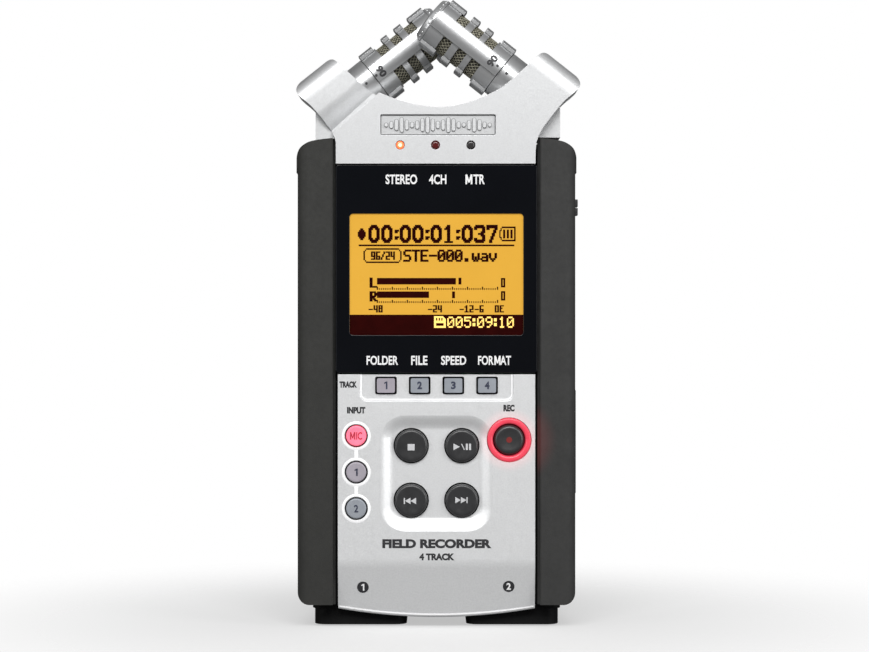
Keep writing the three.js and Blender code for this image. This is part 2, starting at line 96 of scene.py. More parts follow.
REC_C = (18.2, -32.1, 32.3)
SILVER = mat("silver_paint_m", (0.575, 0.58, 0.585), 0.46, 0.78, tint=0.035, tint_scale=2600, rvar=0.06, rscale=3200, bump=0.16, bscale=5200, bdist=0.00003)
# dark grey for painted shade round the badge and round its raised bars
BADGE_SHADE = mat("badge_painted_shade_m", (0.16, 0.162, 0.165), 0.5, 0.3, tint=0.08, tint_scale=900, rvar=0.05)
# a darker copy of the silver for the badge's recessed floor: painted shade in the recess
BADGE_FLOOR = mat("silver_painted_shade_m", (0.53, 0.535, 0.54), 0.40, 0.55, tint=0.035, tint_scale=2600, rvar=0.06, rscale=3200, bump=0.16, bscale=5200, bdist=0.00003)
# black of the input housing, made darker than the case black as painted shade where the feet sit in shadow; also used
# for the gap strips
HOUSING_SHADED_M = mat("housing_black_painted_shade_m", (0.0028, 0.0028, 0.0030), 0.6, tint=0.12, tint_scale=160, rvar=0.08, rscale=1200, bump=0.3, bscale=2600, bdist=0.00005, vor=True, spec=0.12)
PANEL = mat("silver_panel_m", (0.66, 0.665, 0.67), 0.42, 0.55, tint=0.035, tint_scale=2600, rvar=0.06, rscale=3200, bump=0.16, bscale=5200, bdist=0.00003,
            glow=(REC_C, 5.2, 8.8, (1.0, 0.12, 0.13), 0.16))
MIC_M = mat("mic_silver_m", (0.48, 0.485, 0.49), 0.30, 0.80, tint=0.010, tint_scale=1200, rvar=0.015, rscale=1500, bump=0.02, bscale=5000, bdist=0.00001)
GRIP = mat("grip_rubber_m", (0.0145, 0.0145, 0.0130), 0.66, spec=0.34, tint=0.10, tint_scale=220, rvar=0.07, rscale=900, bump=0.30, bscale=4200, bdist=0.00006, vor=True)
# the right grip: a lighter copy of the rubber as painted light from the right side, plus a painted red glow from the
# record ring
GRIP_LIT = mat("grip_rubber_painted_light_m", (0.0175, 0.0175, 0.0170), 0.66, spec=0.34, tint=0.10, tint_scale=220, rvar=0.07, rscale=900, bump=0.30, bscale=4200, bdist=0.00006, vor=True,
             glow=(REC_C, 7.0, 13.0, (1.0, 0.05, 0.05), 0.05))
CASE = mat("case_black_m", (0.0075, 0.0075, 0.0080), 0.55, spec=0.3, tint=0.12, tint_scale=160, rvar=0.08, rscale=1200, bump=0.35, bscale=2600, bdist=0.00006, vor=True)
LENS = mat("lens_black_m", (0.0030, 0.0034, 0.0046), 0.07, tint=0.10, tint_scale=60, rvar=0.02, rscale=260, coat=0.0, spec=0.40)
LCD_M = mat("lcd_amber_m", (0.30, 0.165, 0.020), 0.30, tint=0.06, tint_scale=45, rvar=0.03, rscale=300, emit=(0.80, 0.42, 0.052), estr=0.49, spec=0.1)
LCD_DARK = mat("lcd_ink_m", (0.017, 0.0009, 0.0007), 0.55, tint=0.15, tint_scale=300, rvar=0.05, spec=0.02)
LCD_GLOWTEXT = mat("lcd_clear_m", (0.85, 0.55, 0.14), 0.25, tint=0.05, tint_scale=200, rvar=0.03, emit=(0.85, 0.50, 0.12), estr=0.55)
BTN = mat("button_black_m", (0.020, 0.020, 0.021), 0.33, tint=0.12, tint_scale=260, rvar=0.05, rscale=900, bump=0.06, bscale=3000)
BTN_GREY = mat("button_grey_m", (0.265, 0.245, 0.275), 0.42, tint=0.05, tint_scale=300, rvar=0.05, rscale=900, bump=0.05, bscale=3000)
BTN_GREY2 = mat("button_blue_grey_m", (0.215, 0.230, 0.255), 0.42, tint=0.05, tint_scale=300, rvar=0.05, rscale=900, bump=0.05, bscale=3000)
BTN_PINK = mat("button_lit_m", (0.90, 0.16, 0.24), 0.40, tint=0.06, tint_scale=300, rvar=0.05, emit=(1.0, 0.13, 0.20), estr=0.32)
RING = mat("ring_lit_m", (0.46, 0.040, 0.065), 0.30, tint=0.08, tint_scale=260, rvar=0.05, emit=(0.95, 0.05, 0.09), estr=0.34)
REDDOT = mat("red_dot_m", (0.150, 0.012, 0.010), 0.4, tint=0.12, tint_scale=500, rvar=0.05)
LED_ON = mat("led_on_m", (0.85, 0.12, 0.05), 0.2, tint=0.1, tint_scale=900, rvar=0.04, emit=(1.0, 0.16, 0.05), estr=1.3)
LED_HOT = mat("led_core_m", (1.0, 0.6, 0.3), 0.2, tint=0.05, tint_scale=900, rvar=0.04, emit=(1.0, 0.62, 0.30), estr=2.2)
LED_OFF = mat("led_off_m", (0.070, 0.010, 0.010), 0.16, tint=0.15, tint_scale=900, rvar=0.04)
LED_OFF2 = mat("led_dark_m", (0.030, 0.028, 0.028), 0.16, tint=0.15, tint_scale=900, rvar=0.04)
WHITE_INK = mat("white_ink_m", (0.62, 0.62, 0.62), 0.5, tint=0.05, tint_scale=600, rvar=0.05)
GREY_INK = mat("grey_ink_m", (0.42, 0.42, 0.43), 0.5, tint=0.06, tint_scale=600, rvar=0.05)
BLACK_INK = mat("black_ink_m", (0.012, 0.012, 0.014), 0.5, tint=0.15, tint_scale=600, rvar=0.06)
NAVY_INK = mat("navy_ink_m", (0.018, 0.022, 0.045), 0.5, tint=0.15, tint_scale=600, rvar=0.06)
RED_INK = mat("red_ink_m", (0.36, 0.010, 0.03), 0.5, tint=0.12, tint_scale=600, rvar=0.06)
# white for the light guide round the input keys; also used for painted highlights on the track tray's rim and along the
# panel's lower edge
INLAY_AND_HIGHLIGHT = mat("white_inlay_and_painted_highlight_m", (0.76, 0.76, 0.765), 0.35, tint=0.03, tint_scale=300, rvar=0.05)
MESH_M = mat("mic_mesh_m", (0.34, 0.325, 0.25), 0.40, 0.55, tint=0.22, tint_scale=1800, rvar=0.1, rscale=2500)
MESH_BACK = mat("mic_back_m", (0.050, 0.047, 0.036), 0.6, 0.2, tint=0.3, tint_scale=2500, rvar=0.1, bump=0.3, bscale=4000)
JACK = mat("jack_black_m", (0.018, 0.018, 0.020), 0.42, tint=0.12, tint_scale=300, rvar=0.07, bump=0.10, bscale=2500)
STEEL = mat("steel_m", (0.62, 0.62, 0.63), 0.28, 1.0, tint=0.06, tint_scale=900, rvar=0.08, rscale=2500, bump=0.05, bscale=2500)
BRASS = mat("brass_m", (0.71, 0.55, 0.27), 0.30, 1.0, tint=0.07, tint_scale=900, rvar=0.07, rscale=2500)
BOARD = mat("board_m", (0.02, 0.12, 0.055), 0.42, tint=0.15, tint_scale=700, rvar=0.07)
CELL = mat("cell_m", (0.45, 0.46, 0.47), 0.32, 0.9, tint=0.06, tint_scale=200, rvar=0.07)
PINGOLD = mat("contact_m", (0.75, 0.60, 0.28), 0.28, 1.0, tint=0.06, tint_scale=900, rvar=0.06)

# ------------------------------------------------------------------------------- mesh helpers
def prism(pts, z0, z1, bm=None):
    bm = bm or bmesh.new()
    a = sum(pts[i][0] * pts[(i + 1) % len(pts)][1] - pts[(i + 1) % len(pts)][0] * pts[i][1] for i in range(len(pts)))
    if a < 0: pts = pts[::-1]
    lo = [bm.verts.new((x, y, z0)) for x, y in pts]; hi = [bm.verts.new((x, y, z1)) for x, y in pts]
    bm.faces.new(hi); bm.faces.new(lo[::-1])
    for i in range(len(pts)):
        j = (i + 1) % len(pts)
        bm.faces.new((lo[i], lo[j], hi[j], hi[i]))
    return bm
def loft(rings, bm=None, cap=True):
    """Rings of 3-D points, all the same length; closed round each ring."""
    bm = bm or bmesh.new()
    vs = [[bm.verts.new(p) for p in r] for r in rings]
    n = len(rings[0])
    for a, b in zip(vs, vs[1:]):
        for i in range(n):
            j = (i + 1) % n
            bm.faces.new((a[i], a[j], b[j], b[i]))
    if cap:
        bm.faces.new(vs[0][::-1]); bm.faces.new(vs[-1])
    bmesh.ops.recalc_face_normals(bm, faces=bm.faces)
    return bm
def turned(profile, n=48, bm=None):
    """profile of (radius, z) from the axis at the bottom to the axis at the top, about local z"""
    bm = bm or bmesh.new()
    rings = []
    for r, z in profile:
        if r < 1e-6: rings.append([bm.verts.new((0, 0, z))])
        else: rings.append([bm.verts.new((r * math.cos(2 * math.pi * i / n), r * math.sin(2 * math.pi * i / n), z)) for i in range(n)])
    for a, b in zip(rings, rings[1:]):
        for i in range(n):
            j = (i + 1) % n
            if len(a) == 1 and len(b) == 1: continue
            if len(a) == 1: bm.faces.new((a[0], b[j], b[i]))
            elif len(b) == 1: bm.faces.new((a[i], a[j], b[0]))
            else: bm.faces.new((a[i], a[j], b[j], b[i]))
    if len(rings[0]) > 1 and len(rings[-1]) > 1:   # a closed ring section
        a, b = rings[-1], rings[0]
        for i in range(n):
            j = (i + 1) % n
            bm.faces.new((a[i], a[j], b[j], b[i]))
    bmesh.ops.recalc_face_normals(bm, faces=bm.faces)
    return bm
def rrect(x0, x1, y0, y1, r, n=6):
    out = []
    for cx, cy, a0 in ((x1 - r, y1 - r, 0), (x0 + r, y1 - r, 90), (x0 + r, y0 + r, 180), (x1 - r, y0 + r, 270)):
        for i in range(n + 1):
            a = math.radians(a0 + 90 * i / n)
            out.append((cx + r * math.cos(a), cy + r * math.sin(a)))
    return out
def circ(cx, cy, r, n=48):
    return [(cx + r * math.cos(2 * math.pi * i / n), cy + r * math.sin(2 * math.pi * i / n)) for i in range(n)]
def sector(r0, r1, a0, a1, n):
    o = [(r1 * math.cos(math.radians(a0 + (a1 - a0) * i / n)), r1 * math.sin(math.radians(a0 + (a1 - a0) * i / n))) for i in range(n + 1)]
    if r0 <= 0: return o + [(0, 0)]
    return o + [(r0 * math.cos(math.radians(a0 + (a1 - a0) * i / n)), r0 * math.sin(math.radians(a0 + (a1 - a0) * i / n))) for i in range(n, -1, -1)]
def boxm(x0, x1, y0, y1, z0, z1, bm=None):
    return prism([(x0, y0), (x1, y0), (x1, y1), (x0, y1)], z0, z1, bm)
def rot_to(bm, verts, m):
    bmesh.ops.transform(bm, matrix=m, verts=verts)
def add_bm(dst, src, m=None):
    me = bpy.data.meshes.new("t"); src.to_mesh(me)
    if m is not None: me.transform(m)
    dst.from_mesh(me); bpy.data.meshes.remove(me)
    return dst
def clean(bm, ang=0.6):
    bmesh.ops.remove_doubles(bm, verts=bm.verts, dist=0.004)
    bmesh.ops.dissolve_degenerate(bm, edges=bm.edges, dist=0.003)
    bmesh.ops.dissolve_limit(bm, angle_limit=math.radians(ang), verts=bm.verts, edges=bm.edges)
    return bm
def boolean(bm, cutter, op="DIFFERENCE", self_hit=False):
    objs = []
    for i, b in enumerate((bm, cutter)):
        me = bpy.data.meshes.new("b%d" % i); b.to_mesh(me)
        o = bpy.data.objects.new("b%d" % i, me); S.collection.objects.link(o); objs.append(o)
    md = objs[0].modifiers.new("b", "BOOLEAN"); md.object = objs[1]; md.operation = op; md.solver = "EXACT"; md.use_self = self_hit
    dg = bpy.context.evaluated_depsgraph_get()
    me = bpy.data.meshes.new_from_object(objs[0].evaluated_get(dg))
    out = bmesh.new(); out.from_mesh(me); bpy.data.meshes.remove(me)
    for o in objs:
        d = o.data; bpy.data.objects.remove(o); bpy.data.meshes.remove(d)
    bm.free()
    return clean(out)
def sharp_edges(bm, ang=30, test=None):
    out = []
    for e in bm.edges:
        if len(e.link_faces) == 2 and e.calc_face_angle(0) > math.radians(ang):
            if test is None or test((e.verts[0].co + e.verts[1].co) / 2, e): out.append(e)
    return out
def bevel(bm, w, segs=2, ang=30, test=None):
    es = sharp_edges(bm, ang, test)
    if es: bmesh.ops.bevel(bm, geom=es, offset=w, offset_type="OFFSET", segments=segs, profile=0.5, affect="EDGES", clamp_overlap=True, miter_outer="SHARP")
    return bm
PIECES = {}
def piece(name, bm, body, material, node=(), m=M, ang=38, wn=True):
    bmesh.ops.recalc_face_normals(bm, faces=bm.faces)
    me = bpy.data.meshes.new(name); bm.to_mesh(me); bm.free()
    me.transform(m)
    for p in me.polygons: p.use_smooth = True
    me.set_sharp_from_angle(angle=math.radians(ang))
    me.materials.append(material)
    o = bpy.data.objects.new(name, me); S.collection.objects.link(o)
    if wn:
        w = o.modifiers.new("normals", "WEIGHTED_NORMAL"); w.keep_sharp = True; w.weight = 80
    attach(o, body)
    nodes = (node,) if isinstance(node, str) else tuple(node)
    if nodes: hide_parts(*nodes)
    PIECES[name] = o
    return o
INV = M.inverted()
def refined(node, name, body, material, w=0.25, segs=2, extra=None, ang=32):
    """The CAD node's own shape with its edges rounded."""
    bm = bmesh.new(); bm.from_mesh(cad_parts[node].data)
    bmesh.ops.transform(bm, matrix=INV, verts=bm.verts)
    clean(bm, 1.0)
    if extra: bm = extra(bm)
    bevel(bm, w, segs, ang)
    return piece(name, bm, body, material, node=node)
def one_into(bm, cx, cy, h, z, thick=0.03, m=None):
    """A figure 1 with a flag."""
    t = h * 0.20; p = [(0.05, -0.5 * h), (0.05 + t, -0.5 * h), (0.05 + t, 0.5 * h), (0.05 + t * 0.25, 0.5 * h), (0.05 - h * 0.22, 0.5 * h - h * 0.16), (0.05 - h * 0.22, 0.5 * h - h * 0.33), (0.05, 0.5 * h - h * 0.22)]
    tmp = prism([(cx - 0.05 + x, cy + y) for x, y in p], z, z + thick)
    add_bm(bm, tmp, m); tmp.free()
def m_into(bm, x0, x1, y0, y1, z, thick, sw):
    """A capital M as four strokes."""
    xm = (x0 + x1) / 2; yl = y0 + (y1 - y0) * 0.18
    boxm(x0, x0 + sw, y0, y1, z, z + thick, bm); boxm(x1 - sw, x1, y0, y1, z, z + thick, bm)
    prism([(x0, y1), (xm - sw * 0.45, yl), (xm + sw * 0.45, yl), (x0 + sw * 1.05, y1)], z, z + thick * 0.98, bm)
    prism([(x1 - sw * 1.05, y1), (xm - sw * 0.45, yl), (xm + sw * 0.45, yl), (x1, y1)], z, z + thick * 0.96, bm)
def text_into(bm, s, cx, cy, h, w=None, z=0, bold=0.0, thick=0.05, rot=0, m=None, align="c", shear=0.0):
    if s == "1": return one_into(bm, cx, cy, h, z, thick, m)
    cu = bpy.data.curves.new("t", "FONT"); cu.body = s; cu.size = 1; cu.offset = bold; cu.resolution_u = 4
    cu.extrude = 0.5; cu.shear = shear
    o = bpy.data.objects.new("t", cu); S.collection.objects.link(o)
    dg = bpy.context.evaluated_depsgraph_get()
    me = bpy.data.meshes.new_from_object(o.evaluated_get(dg))
    bpy.data.objects.remove(o); bpy.data.curves.remove(cu)
    xs = [v.co.x for v in me.vertices]; ys = [v.co.y for v in me.vertices]
    x0, x1, y0, y1 = min(xs), max(xs), min(ys), max(ys)
    sy = h / (y1 - y0); sx = (w / (x1 - x0)) if w else sy * 0.72
    ox = (x0 + x1) / 2 if align == "c" else x0
    t = Matrix.Translation((cx, cy, z)) @ Matrix.Rotation(math.radians(rot), 4, "Z") @ Matrix.Diagonal((sx, sy, thick, 1)) @ Matrix.Translation((-ox, -(y0 + y1) / 2, 0.5))
    me.transform(t if m is None else m @ t)
    bm.from_mesh(me); bpy.data.meshes.remove(me)

# ------------------------------------------------------------------------------- front panel
def arc_y(x): return -76.8 + 2.2 * (abs(x) / 24.7) ** 2
outline = [(-24.7, -15.7), (24.7, -15.7)][::-1]
pts = [(24.7, -15.7)] + [(-24.7, -15.7)] + [(-24.7 + 49.4 * i / 36, arc_y(-24.7 + 49.4 * i / 36)) for i in range(37)]
panel = prism(pts, 29.6, 32.3)
cut = bmesh.new()
rings = [[(x, y, 34.0) for x, y in rrect(-19.45, 19.45, -22.6, -10.0, 2.1, 8)]]
for t in (0, 0.25, 0.5, 0.75, 1.0): rings.append([(x, y, 32.34 - 0.62 * (t * t * (3 - 2 * t))) for x, y in rrect(-19.45 + 0.62 * t, 19.45 - 0.62 * t, -22.6 + 0.62 * t, -10.0, 2.1 - 0.5 * t, 8)])
cut.free(); cut = loft(rings)
panel = boolean(panel, cut); cut.free()
# the recessed dish, with soft sloping walls
rings = [[(x, y, 34.0) for x, y in rrect(-14.5, 14.45, -55.5, -25.55, 6.5, 10)]]
K = 12
for i in range(K + 1):
    t = i / K; s_ = t * t * (3 - 2 * t); d = 3.9 * t
    rings.append([(x, y, 32.32 - 1.2 * s_) for x, y in rrect(-14.35 + d, 14.3 - d, -55.35 + d, -25.7 - d, max(6.4 - d, 2.2), 10)])
dish = loft(rings)
panel = boolean(panel, dish); dish.free()
cut = bmesh.new()
for x in (-12.67, -4.22, 4.22, 12.67): prism(rrect(x - 2.72, x + 2.72, -20.72, -16.28, 0.45, 4), 20, 40, cut)
for y in (-31.1, -40.2, -49.3): prism(circ(-20.1, y, 2.88, 48), 20, 40, cut)
for sx in (-6.35, 6.35):
    for y in (-33.6, -47.3): prism(circ(sx, y, 4.45, 56), 20, 40, cut)
prism(circ(18.2, -32.1, 5.62, 64), 20, 40, cut)
panel = boolean(panel, cut); cut.free()
for yy in (-61.9, -62.5, -63.1, -63.7, -64.3):
    bmesh.ops.bisect_plane(panel, geom=panel.verts[:] + panel.edges[:] + panel.faces[:], plane_co=(0, yy, 0), plane_no=(0, 1, 0), dist=1e-4)
for v in panel.verts:
    if v.co.z > 31 and v.co.y < -61.8:
        t = max(0.0, -61.9 - v.co.y); s_ = t * t / 4.8 if t < 2.4 else t - 1.2
        v.co.z -= 0.185 * s_
    elif v.co.z < 31 and v.co.y < -63 : v.co.z -= 0.185 * (-63 - v.co.y)
bevel(panel, 0.5, 5, 40, lambda c, e: c.z > 29.2 and c.y < -74.1 and abs(c.y - arc_y(c.x)) < 0.15)
bevel(panel, 0.22, 3, 40, lambda c, e: c.z > 30.9)
piece("front_panel_skin", panel, CHASSIS, PANEL, node="front_panel", ang=50)

# a thin white strip round the track tray: painted highlight where the recess wall faces the light
t = prism([(-19.1, -15.72), (19.1, -15.72)][::-1] + [p for p in rrect(-19.1, 19.1, -22.25, -10.0, 1.8, 8) if p[1] < -15][::1], 31.6, 31.93)
t2 = prism([p for p in rrect(-18.72, 18.72, -21.87, -8.0, 1.45, 8)], 31, 33)
t = boolean(t, t2); t2.free()
piece("track_tray_highlight", t, CHASSIS, INLAY_AND_HIGHLIGHT)
# dark strips that close the gap beside the panel and the display: a black frame behind, and painted shade deep in the
# gap
b = bmesh.new()
for sx in (-1, 1): boxm(sx * 24.3, sx * 25.9, -73.2, 36.7, 28.7, 29.35, b) if sx > 0 else boxm(-25.9, -24.3, -73.2, 36.7, 28.7, 29.35, b)
piece("gap_frame_and_shade", b, CHASSIS, HOUSING_SHADED_M)

# a white strip along the bottom edge of the panel: painted highlight, the reflection of the bright floor in the lower
# bevel
b = bmesh.new(); prev = None
for i in range(49):
    x = -24.4 + 48.8 * i / 48; q = []
    for u, dz in ((0.52, 0.015), (0.86, 0.015), (0.86, -0.2), (0.52, -0.2)):
        y = arc_y(x) + u; t = -61.9 - y
        q.append(b.verts.new((x, y, 32.3 - 0.185 * (t - 1.2) + dz)))
    if prev:
        for j in range(4): b.faces.new((prev[j], prev[(j + 1) % 4], q[(j + 1) % 4], q[j]))
    else: b.faces.new(q)
    prev = q
b.faces.new(prev[::-1])
bmesh.ops.recalc_face_normals(b, faces=b.faces)
piece("panel_lower_highlight", b, CHASSIS, INLAY_AND_HIGHLIGHT, wn=False)

# white light guide round the three input keys
g = bmesh.new()
ring_pts = []
for y in (-31.1, -40.2, -49.3):
    turned([(2.98, 0), (2.98, 0.10), (3.05, 0.16), (3.5, 0.12), (3.75, 0.0)], 56, g)
    vs = g.verts[-56 * 5:]
    rot_to(g, list(vs), Matrix.Translation((-20.1, y, 32.24)))
for y0, y1 in ((-36.95, -34.35), (-46.05, -43.45)): prism(rrect(-20.55, -19.65, y0, y1, 0.2, 3), 32.2, 32.36, g)
piece("input_light_guide", g, CHASSIS, INLAY_AND_HIGHLIGHT)

# printed words and numbers on the panel
ink = bmesh.new()
text_into(ink, "TRACK", -22.1, -18.25, 1.6, 4.4, 32.3, bold=0.060, thick=0.03)
text_into(ink, "INPUT", -20.1, -24.7, 1.65, 4.6, 32.3, bold=0.060, thick=0.03)
text_into(ink, "REC", 18.15, -24.15, 1.7, 2.8, 32.3, bold=0.060, thick=0.03)
text_into(ink, "FIELD RECORDER", 0.1, -58.1, 2.3, 27.3, 32.3, bold=0.055, thick=0.03)
text_into(ink, "4 TRACK", 0.1, -61.4, 1.75, 8.8, 32.3, bold=0.055, thick=0.03)
def slope_z(y):
    t = max(0.0, -61.9 - y); s_ = t * t / 4.8 if t < 2.4 else t - 1.2
    return 32.3 - 0.185 * s_
tilt = math.atan(0.185)
for x, y in ((-18.45, -69.1), (18.1, -68.9)):
    tmp = prism(circ(0, 0, 1.45, 40), 0, 0.05)
    add_bm(ink, tmp, Matrix.Translation((x, y, slope_z(y))) @ Matrix.Rotation(tilt, 4, "X")); tmp.free()
piece("panel_print", ink, CHASSIS, BLACK_INK, wn=False)
ink = bmesh.new()
for s, x, y in (("1", -18.45, -69.1), ("2", 18.1, -68.9)):
    text_into(ink, s, 0, 0, 1.75, 0.75 if s == "1" else 1.1, 0.05, bold=0.03, thick=0.03, m=Matrix.Translation((x, y, slope_z(y))) @ Matrix.Rotation(tilt, 4, "X"))
piece("panel_numbers", ink, CHASSIS, WHITE_INK, wn=False)

# ------------------------------------------------------------------------------- display
LZ = 32.5
lens = prism(rrect(-25.2, 25.2, -15.3, 36.7, 0.7, 5), 30.8, LZ)
cut = prism(rrect(-21.75, 21.75, -5.9, 24.5, 0.85, 6), 30.0, 34)
lens = boolean(lens, cut); cut.free()
bevel(lens, 0.12, 3, 40, lambda c, e: c.z > 31.5)
piece("display_window", lens, CHASSIS, LENS, node="display_lens")
lcd = prism(rrect(-21.72, 21.72, -5.87, 24.47, 0.8, 6), 31.0, 32.10)
bevel(lcd, 0.03, 1, 40)
piece("lcd_face", lcd, CHASSIS, LCD_M)

F5 = {
 "0": "01110 10001 10011 10101 11001 10001 01110", "1": "00100 01100 00100 00100 00100 00100 01110",
 "2": "01110 10001 00001 00010 00100 01000 11111", "5": "11111 10000 11110 00001 00001 10001 01110",
 "9": "01110 10001 10001 01111 00001 00010 01100", "S": "01111 10000 10000 01110 00001 00001 11110",
 "T": "11111 00100 00100 00100 00100 00100 00100", "E": "11111 10000 10000 11110 10000 10000 11111",
 "L": "10000 10000 10000 10000 10000 10000 11111", "R": "11110 10001 10001 11110 10100 10010 10001",
 "-": "00000 00000 00000 11111 00000 00000 00000", ".": "00000 00000 00000 00000 00000 01100 01100",
 ":": "000 110 110 000 110 110 000", "w": "00000 00000 10001 10001 10101 10101 01010",
 "a": "00000 00000 01110 00001 01111 10001 01111", "v": "00000 00000 10001 10001 10001 01010 00100"}
F3 = {"0": "111 101 101 101 101 111", "1": "010 110 010 010 010 111", "2": "111 001 001 111 100 111", "4": "101 101 101 111 001 001",
      "6": "111 100 100 111 101 111", "8": "111 101 111 101 101 111", "9": "111 101 101 111 001 111", "E": "111 100 110 100 100 111", "-": "000 000 000 111 000 000", "/": "001 001 010 010 100 100"}
FB = {"0": "00111100 01111110 11100111 11000011 11000011 11000011 11000011 11000011 11100111 01111110 00111100",
      "1": "00011000 00111000 01111000 00011000 00011000 00011000 00011000 00011000 00011000 00011000 01111110",
      "3": "01111110 11111111 11000011 00000011 00000111 00011110 00000111 00000011 11000011 11111111 01111110",
      "7": "11111111 11111111 11000011 00000110 00000110 00001100 00001100 00011000 00011000 00110000 00110000",
      ":": "000 000 000 111 110 000 000 111 110 000 000"}
def lcd_xy(cx, cy): return ((cx - 761.1) / 26.13, (925.0 - cy) / 26.13)
def glyph(bm, rows, x, y, px, py, z0, z1, fat=1.0):
    """Rows of cells; x, y is the top left corner. Cells in a row that touch are one bar."""
    for r, row in enumerate(rows.split()):
        i = 0
        while i < len(row):
            if row[i] == "1":
                j = i
                while j < len(row) and row[j] == "1": j += 1
                boxm(x + i * px, x + j * px + px * (fat - 1), y - (r + 1.0) * py - (0.12 * py if fat > 1.4 else 0), y - r * py + (0.12 * py if fat > 1.4 else 0), z0, z1, bm)
                i = j
            else: i += 1
def bar(bm, cx0, cy0, cx1, cy1, z0, z1):
    x0, y1 = lcd_xy(cx0, cy0); x1, y0 = lcd_xy(cx1, cy1)
    boxm(x0, x1, y0, y1, z0, z1, bm)
Z0, Z1 = 32.09, 32.14
ink = bmesh.new()
def word(bm, font, s, cx, cy, pitch, px, py, z0=Z0, z1=Z1, narrow=None, fat=None):
    for ch in s:
        x, y = lcd_xy(cx, cy)
        if ch != " ": glyph(bm, font[ch], x, y, px, py, z0, z1, fat or (1.8 if font is F5 else 1.4))
        cx += (narrow if narrow and ch in ":." else pitch)
px, py = 70 / 8 / 26.13, 117 / 11 / 26.13
for ch, cx in zip("00:00:01:037", (315, 399, 487, 520, 602, 688, 722, 803, 889, 925, 1006, 1087)):
    x, y = lcd_xy(cx, 358); glyph(ink, FB[ch], x, y, px if ch != ":" else px * 0.95, py, Z0, Z1, 1.55)
for i, (w0, w1) in enumerate(((262, 282), (254, 290), (246, 298), (246, 298), (246, 298), (254, 290), (262, 282))):
    bar(ink, w0, 380 + i * 11, w1, 391.5 + i * 11, Z0, Z1)
for a in ((1188, 368, 1279, 379), (1188, 454, 1279, 465), (1269, 368, 1279, 465), (1180, 378, 1188, 398), (1180, 436, 1188, 455), (1172, 392, 1180, 442),
          (1197, 388, 1211, 446), (1221, 388, 1235, 446), (1245, 388, 1259, 446), (252, 486, 1270, 497),
          (300, 510, 516, 520), (300, 597, 516, 607), (292, 519, 300, 530), (516, 519, 524, 530), (283, 528, 293, 588), (523, 528, 533, 588), (292, 588, 300, 598), (516, 588, 524, 598),
          (372, 705, 888, 747), (905, 703, 924, 747), (372, 793, 712, 835), (863, 793, 882, 837)):
    bar(ink, *a, Z0, Z1)
word(ink, F3, "96/24", 332, 531, 32, 8.6 / 26.13, 9.2 / 26.13)
word(ink, F5, "STE-000.wav", 543, 520, 56, 9.3 / 26.13, 11.1 / 26.13)
word(ink, F5, "L", 323, 703, 50, 7.4 / 26.13, 9.2 / 26.13, fat=2.7)
word(ink, F5, "R", 323, 793, 50, 7.4 / 26.13, 9.2 / 26.13, fat=2.7)
for cy in (765, 851):
    for i in range(57):
        cx = 370 + i * 14.05
        big = i % 7 == 0
        bar(ink, cx, cy - 3 if big else cy + 6, cx + (8 if big else 6), cy + 17, Z0, Z1)
    word(ink, F3, "0", 1183, cy - 60, 30, 8.2 / 26.13, 10.2 / 26.13)
for s, cx in (("-48", 317), ("-24", 705), ("-12", 912), ("-6", 1010), ("0E", 1142)):
    word(ink, F3, s, cx, 883, 32, 8.4 / 26.13, 7.9 / 26.13, fat=1.35)
xa, ya = lcd_xy(195, 945)
piece("lcd_marks", ink, CHASSIS, LCD_DARK, wn=False)
band = prism([(-21.735, ya), (21.735, ya)] + [p for p in rrect(-21.735, 21.735, -5.885, 20, 0.81, 6) if p[1] < -4][::-1], Z0 - 0.3, 32.125)
piece("lcd_dark_band", band, CHASSIS, LCD_DARK, wn=False)
ink = bmesh.new()
Z2, Z3 = 32.12, 32.16
cx = 832
for ch in "005:09:10":
    x, y = lcd_xy(cx, 958); glyph(ink, F5[ch], x, y, 9.0 / 26.13, 10.3 / 26.13, Z2, Z3); cx += 30 if ch == ":" else 55
x0, y1 = lcd_xy(745, 955); x1, y0 = lcd_xy(822, 1031)
prism([(x0, y0), (x1, y0), (x1, y1 - 0.75), (x1 - 0.75, y1), (x0, y1)], Z2, Z3, ink)
piece("lcd_clock", ink, CHASSIS, LCD_GLOWTEXT, wn=False)
ink = bmesh.new()
for i in range(3): bar(ink, 758 + i * 17, 966, 767 + i * 17, 984, Z3 - 0.01, Z3 + 0.02)
bar(ink, 758, 1000, 808, 1018, Z3 - 0.01, Z3 + 0.02)
piece("lcd_card_sign", ink, CHASSIS, LCD_DARK, wn=False)
ink = bmesh.new()
for s, x, w in (("STEREO", -8.95, 7.9), ("4CH", 0.3, 4.35), ("TR", 10.65, 2.85)): text_into(ink, s, x + (0.15 if s == "STEREO" else 0), 33.1, 2.45, w, LZ, bold=0.024, thick=0.03)
m_into(ink, 7.25, 8.98, 33.1 - 1.22, 33.1 + 1.22, LZ, 0.03, 0.42)
for s, x, w in (("FOLDER", -13.55, 7.9), ("FILE", -4.3, 4.1), ("SPEED", 4.3, 6.3), ("FOR", 12.35, 3.9), ("AT", 17.3, 2.7)): text_into(ink, s, x, -12.2, 2.3, w, LZ, bold=0.024, thick=0.03)
m_into(ink, 14.48, 16.05, -12.2 - 1.14, -12.2 + 1.14, LZ, 0.03, 0.38)
piece("window_print", ink, CHASSIS, WHITE_INK, wn=False)

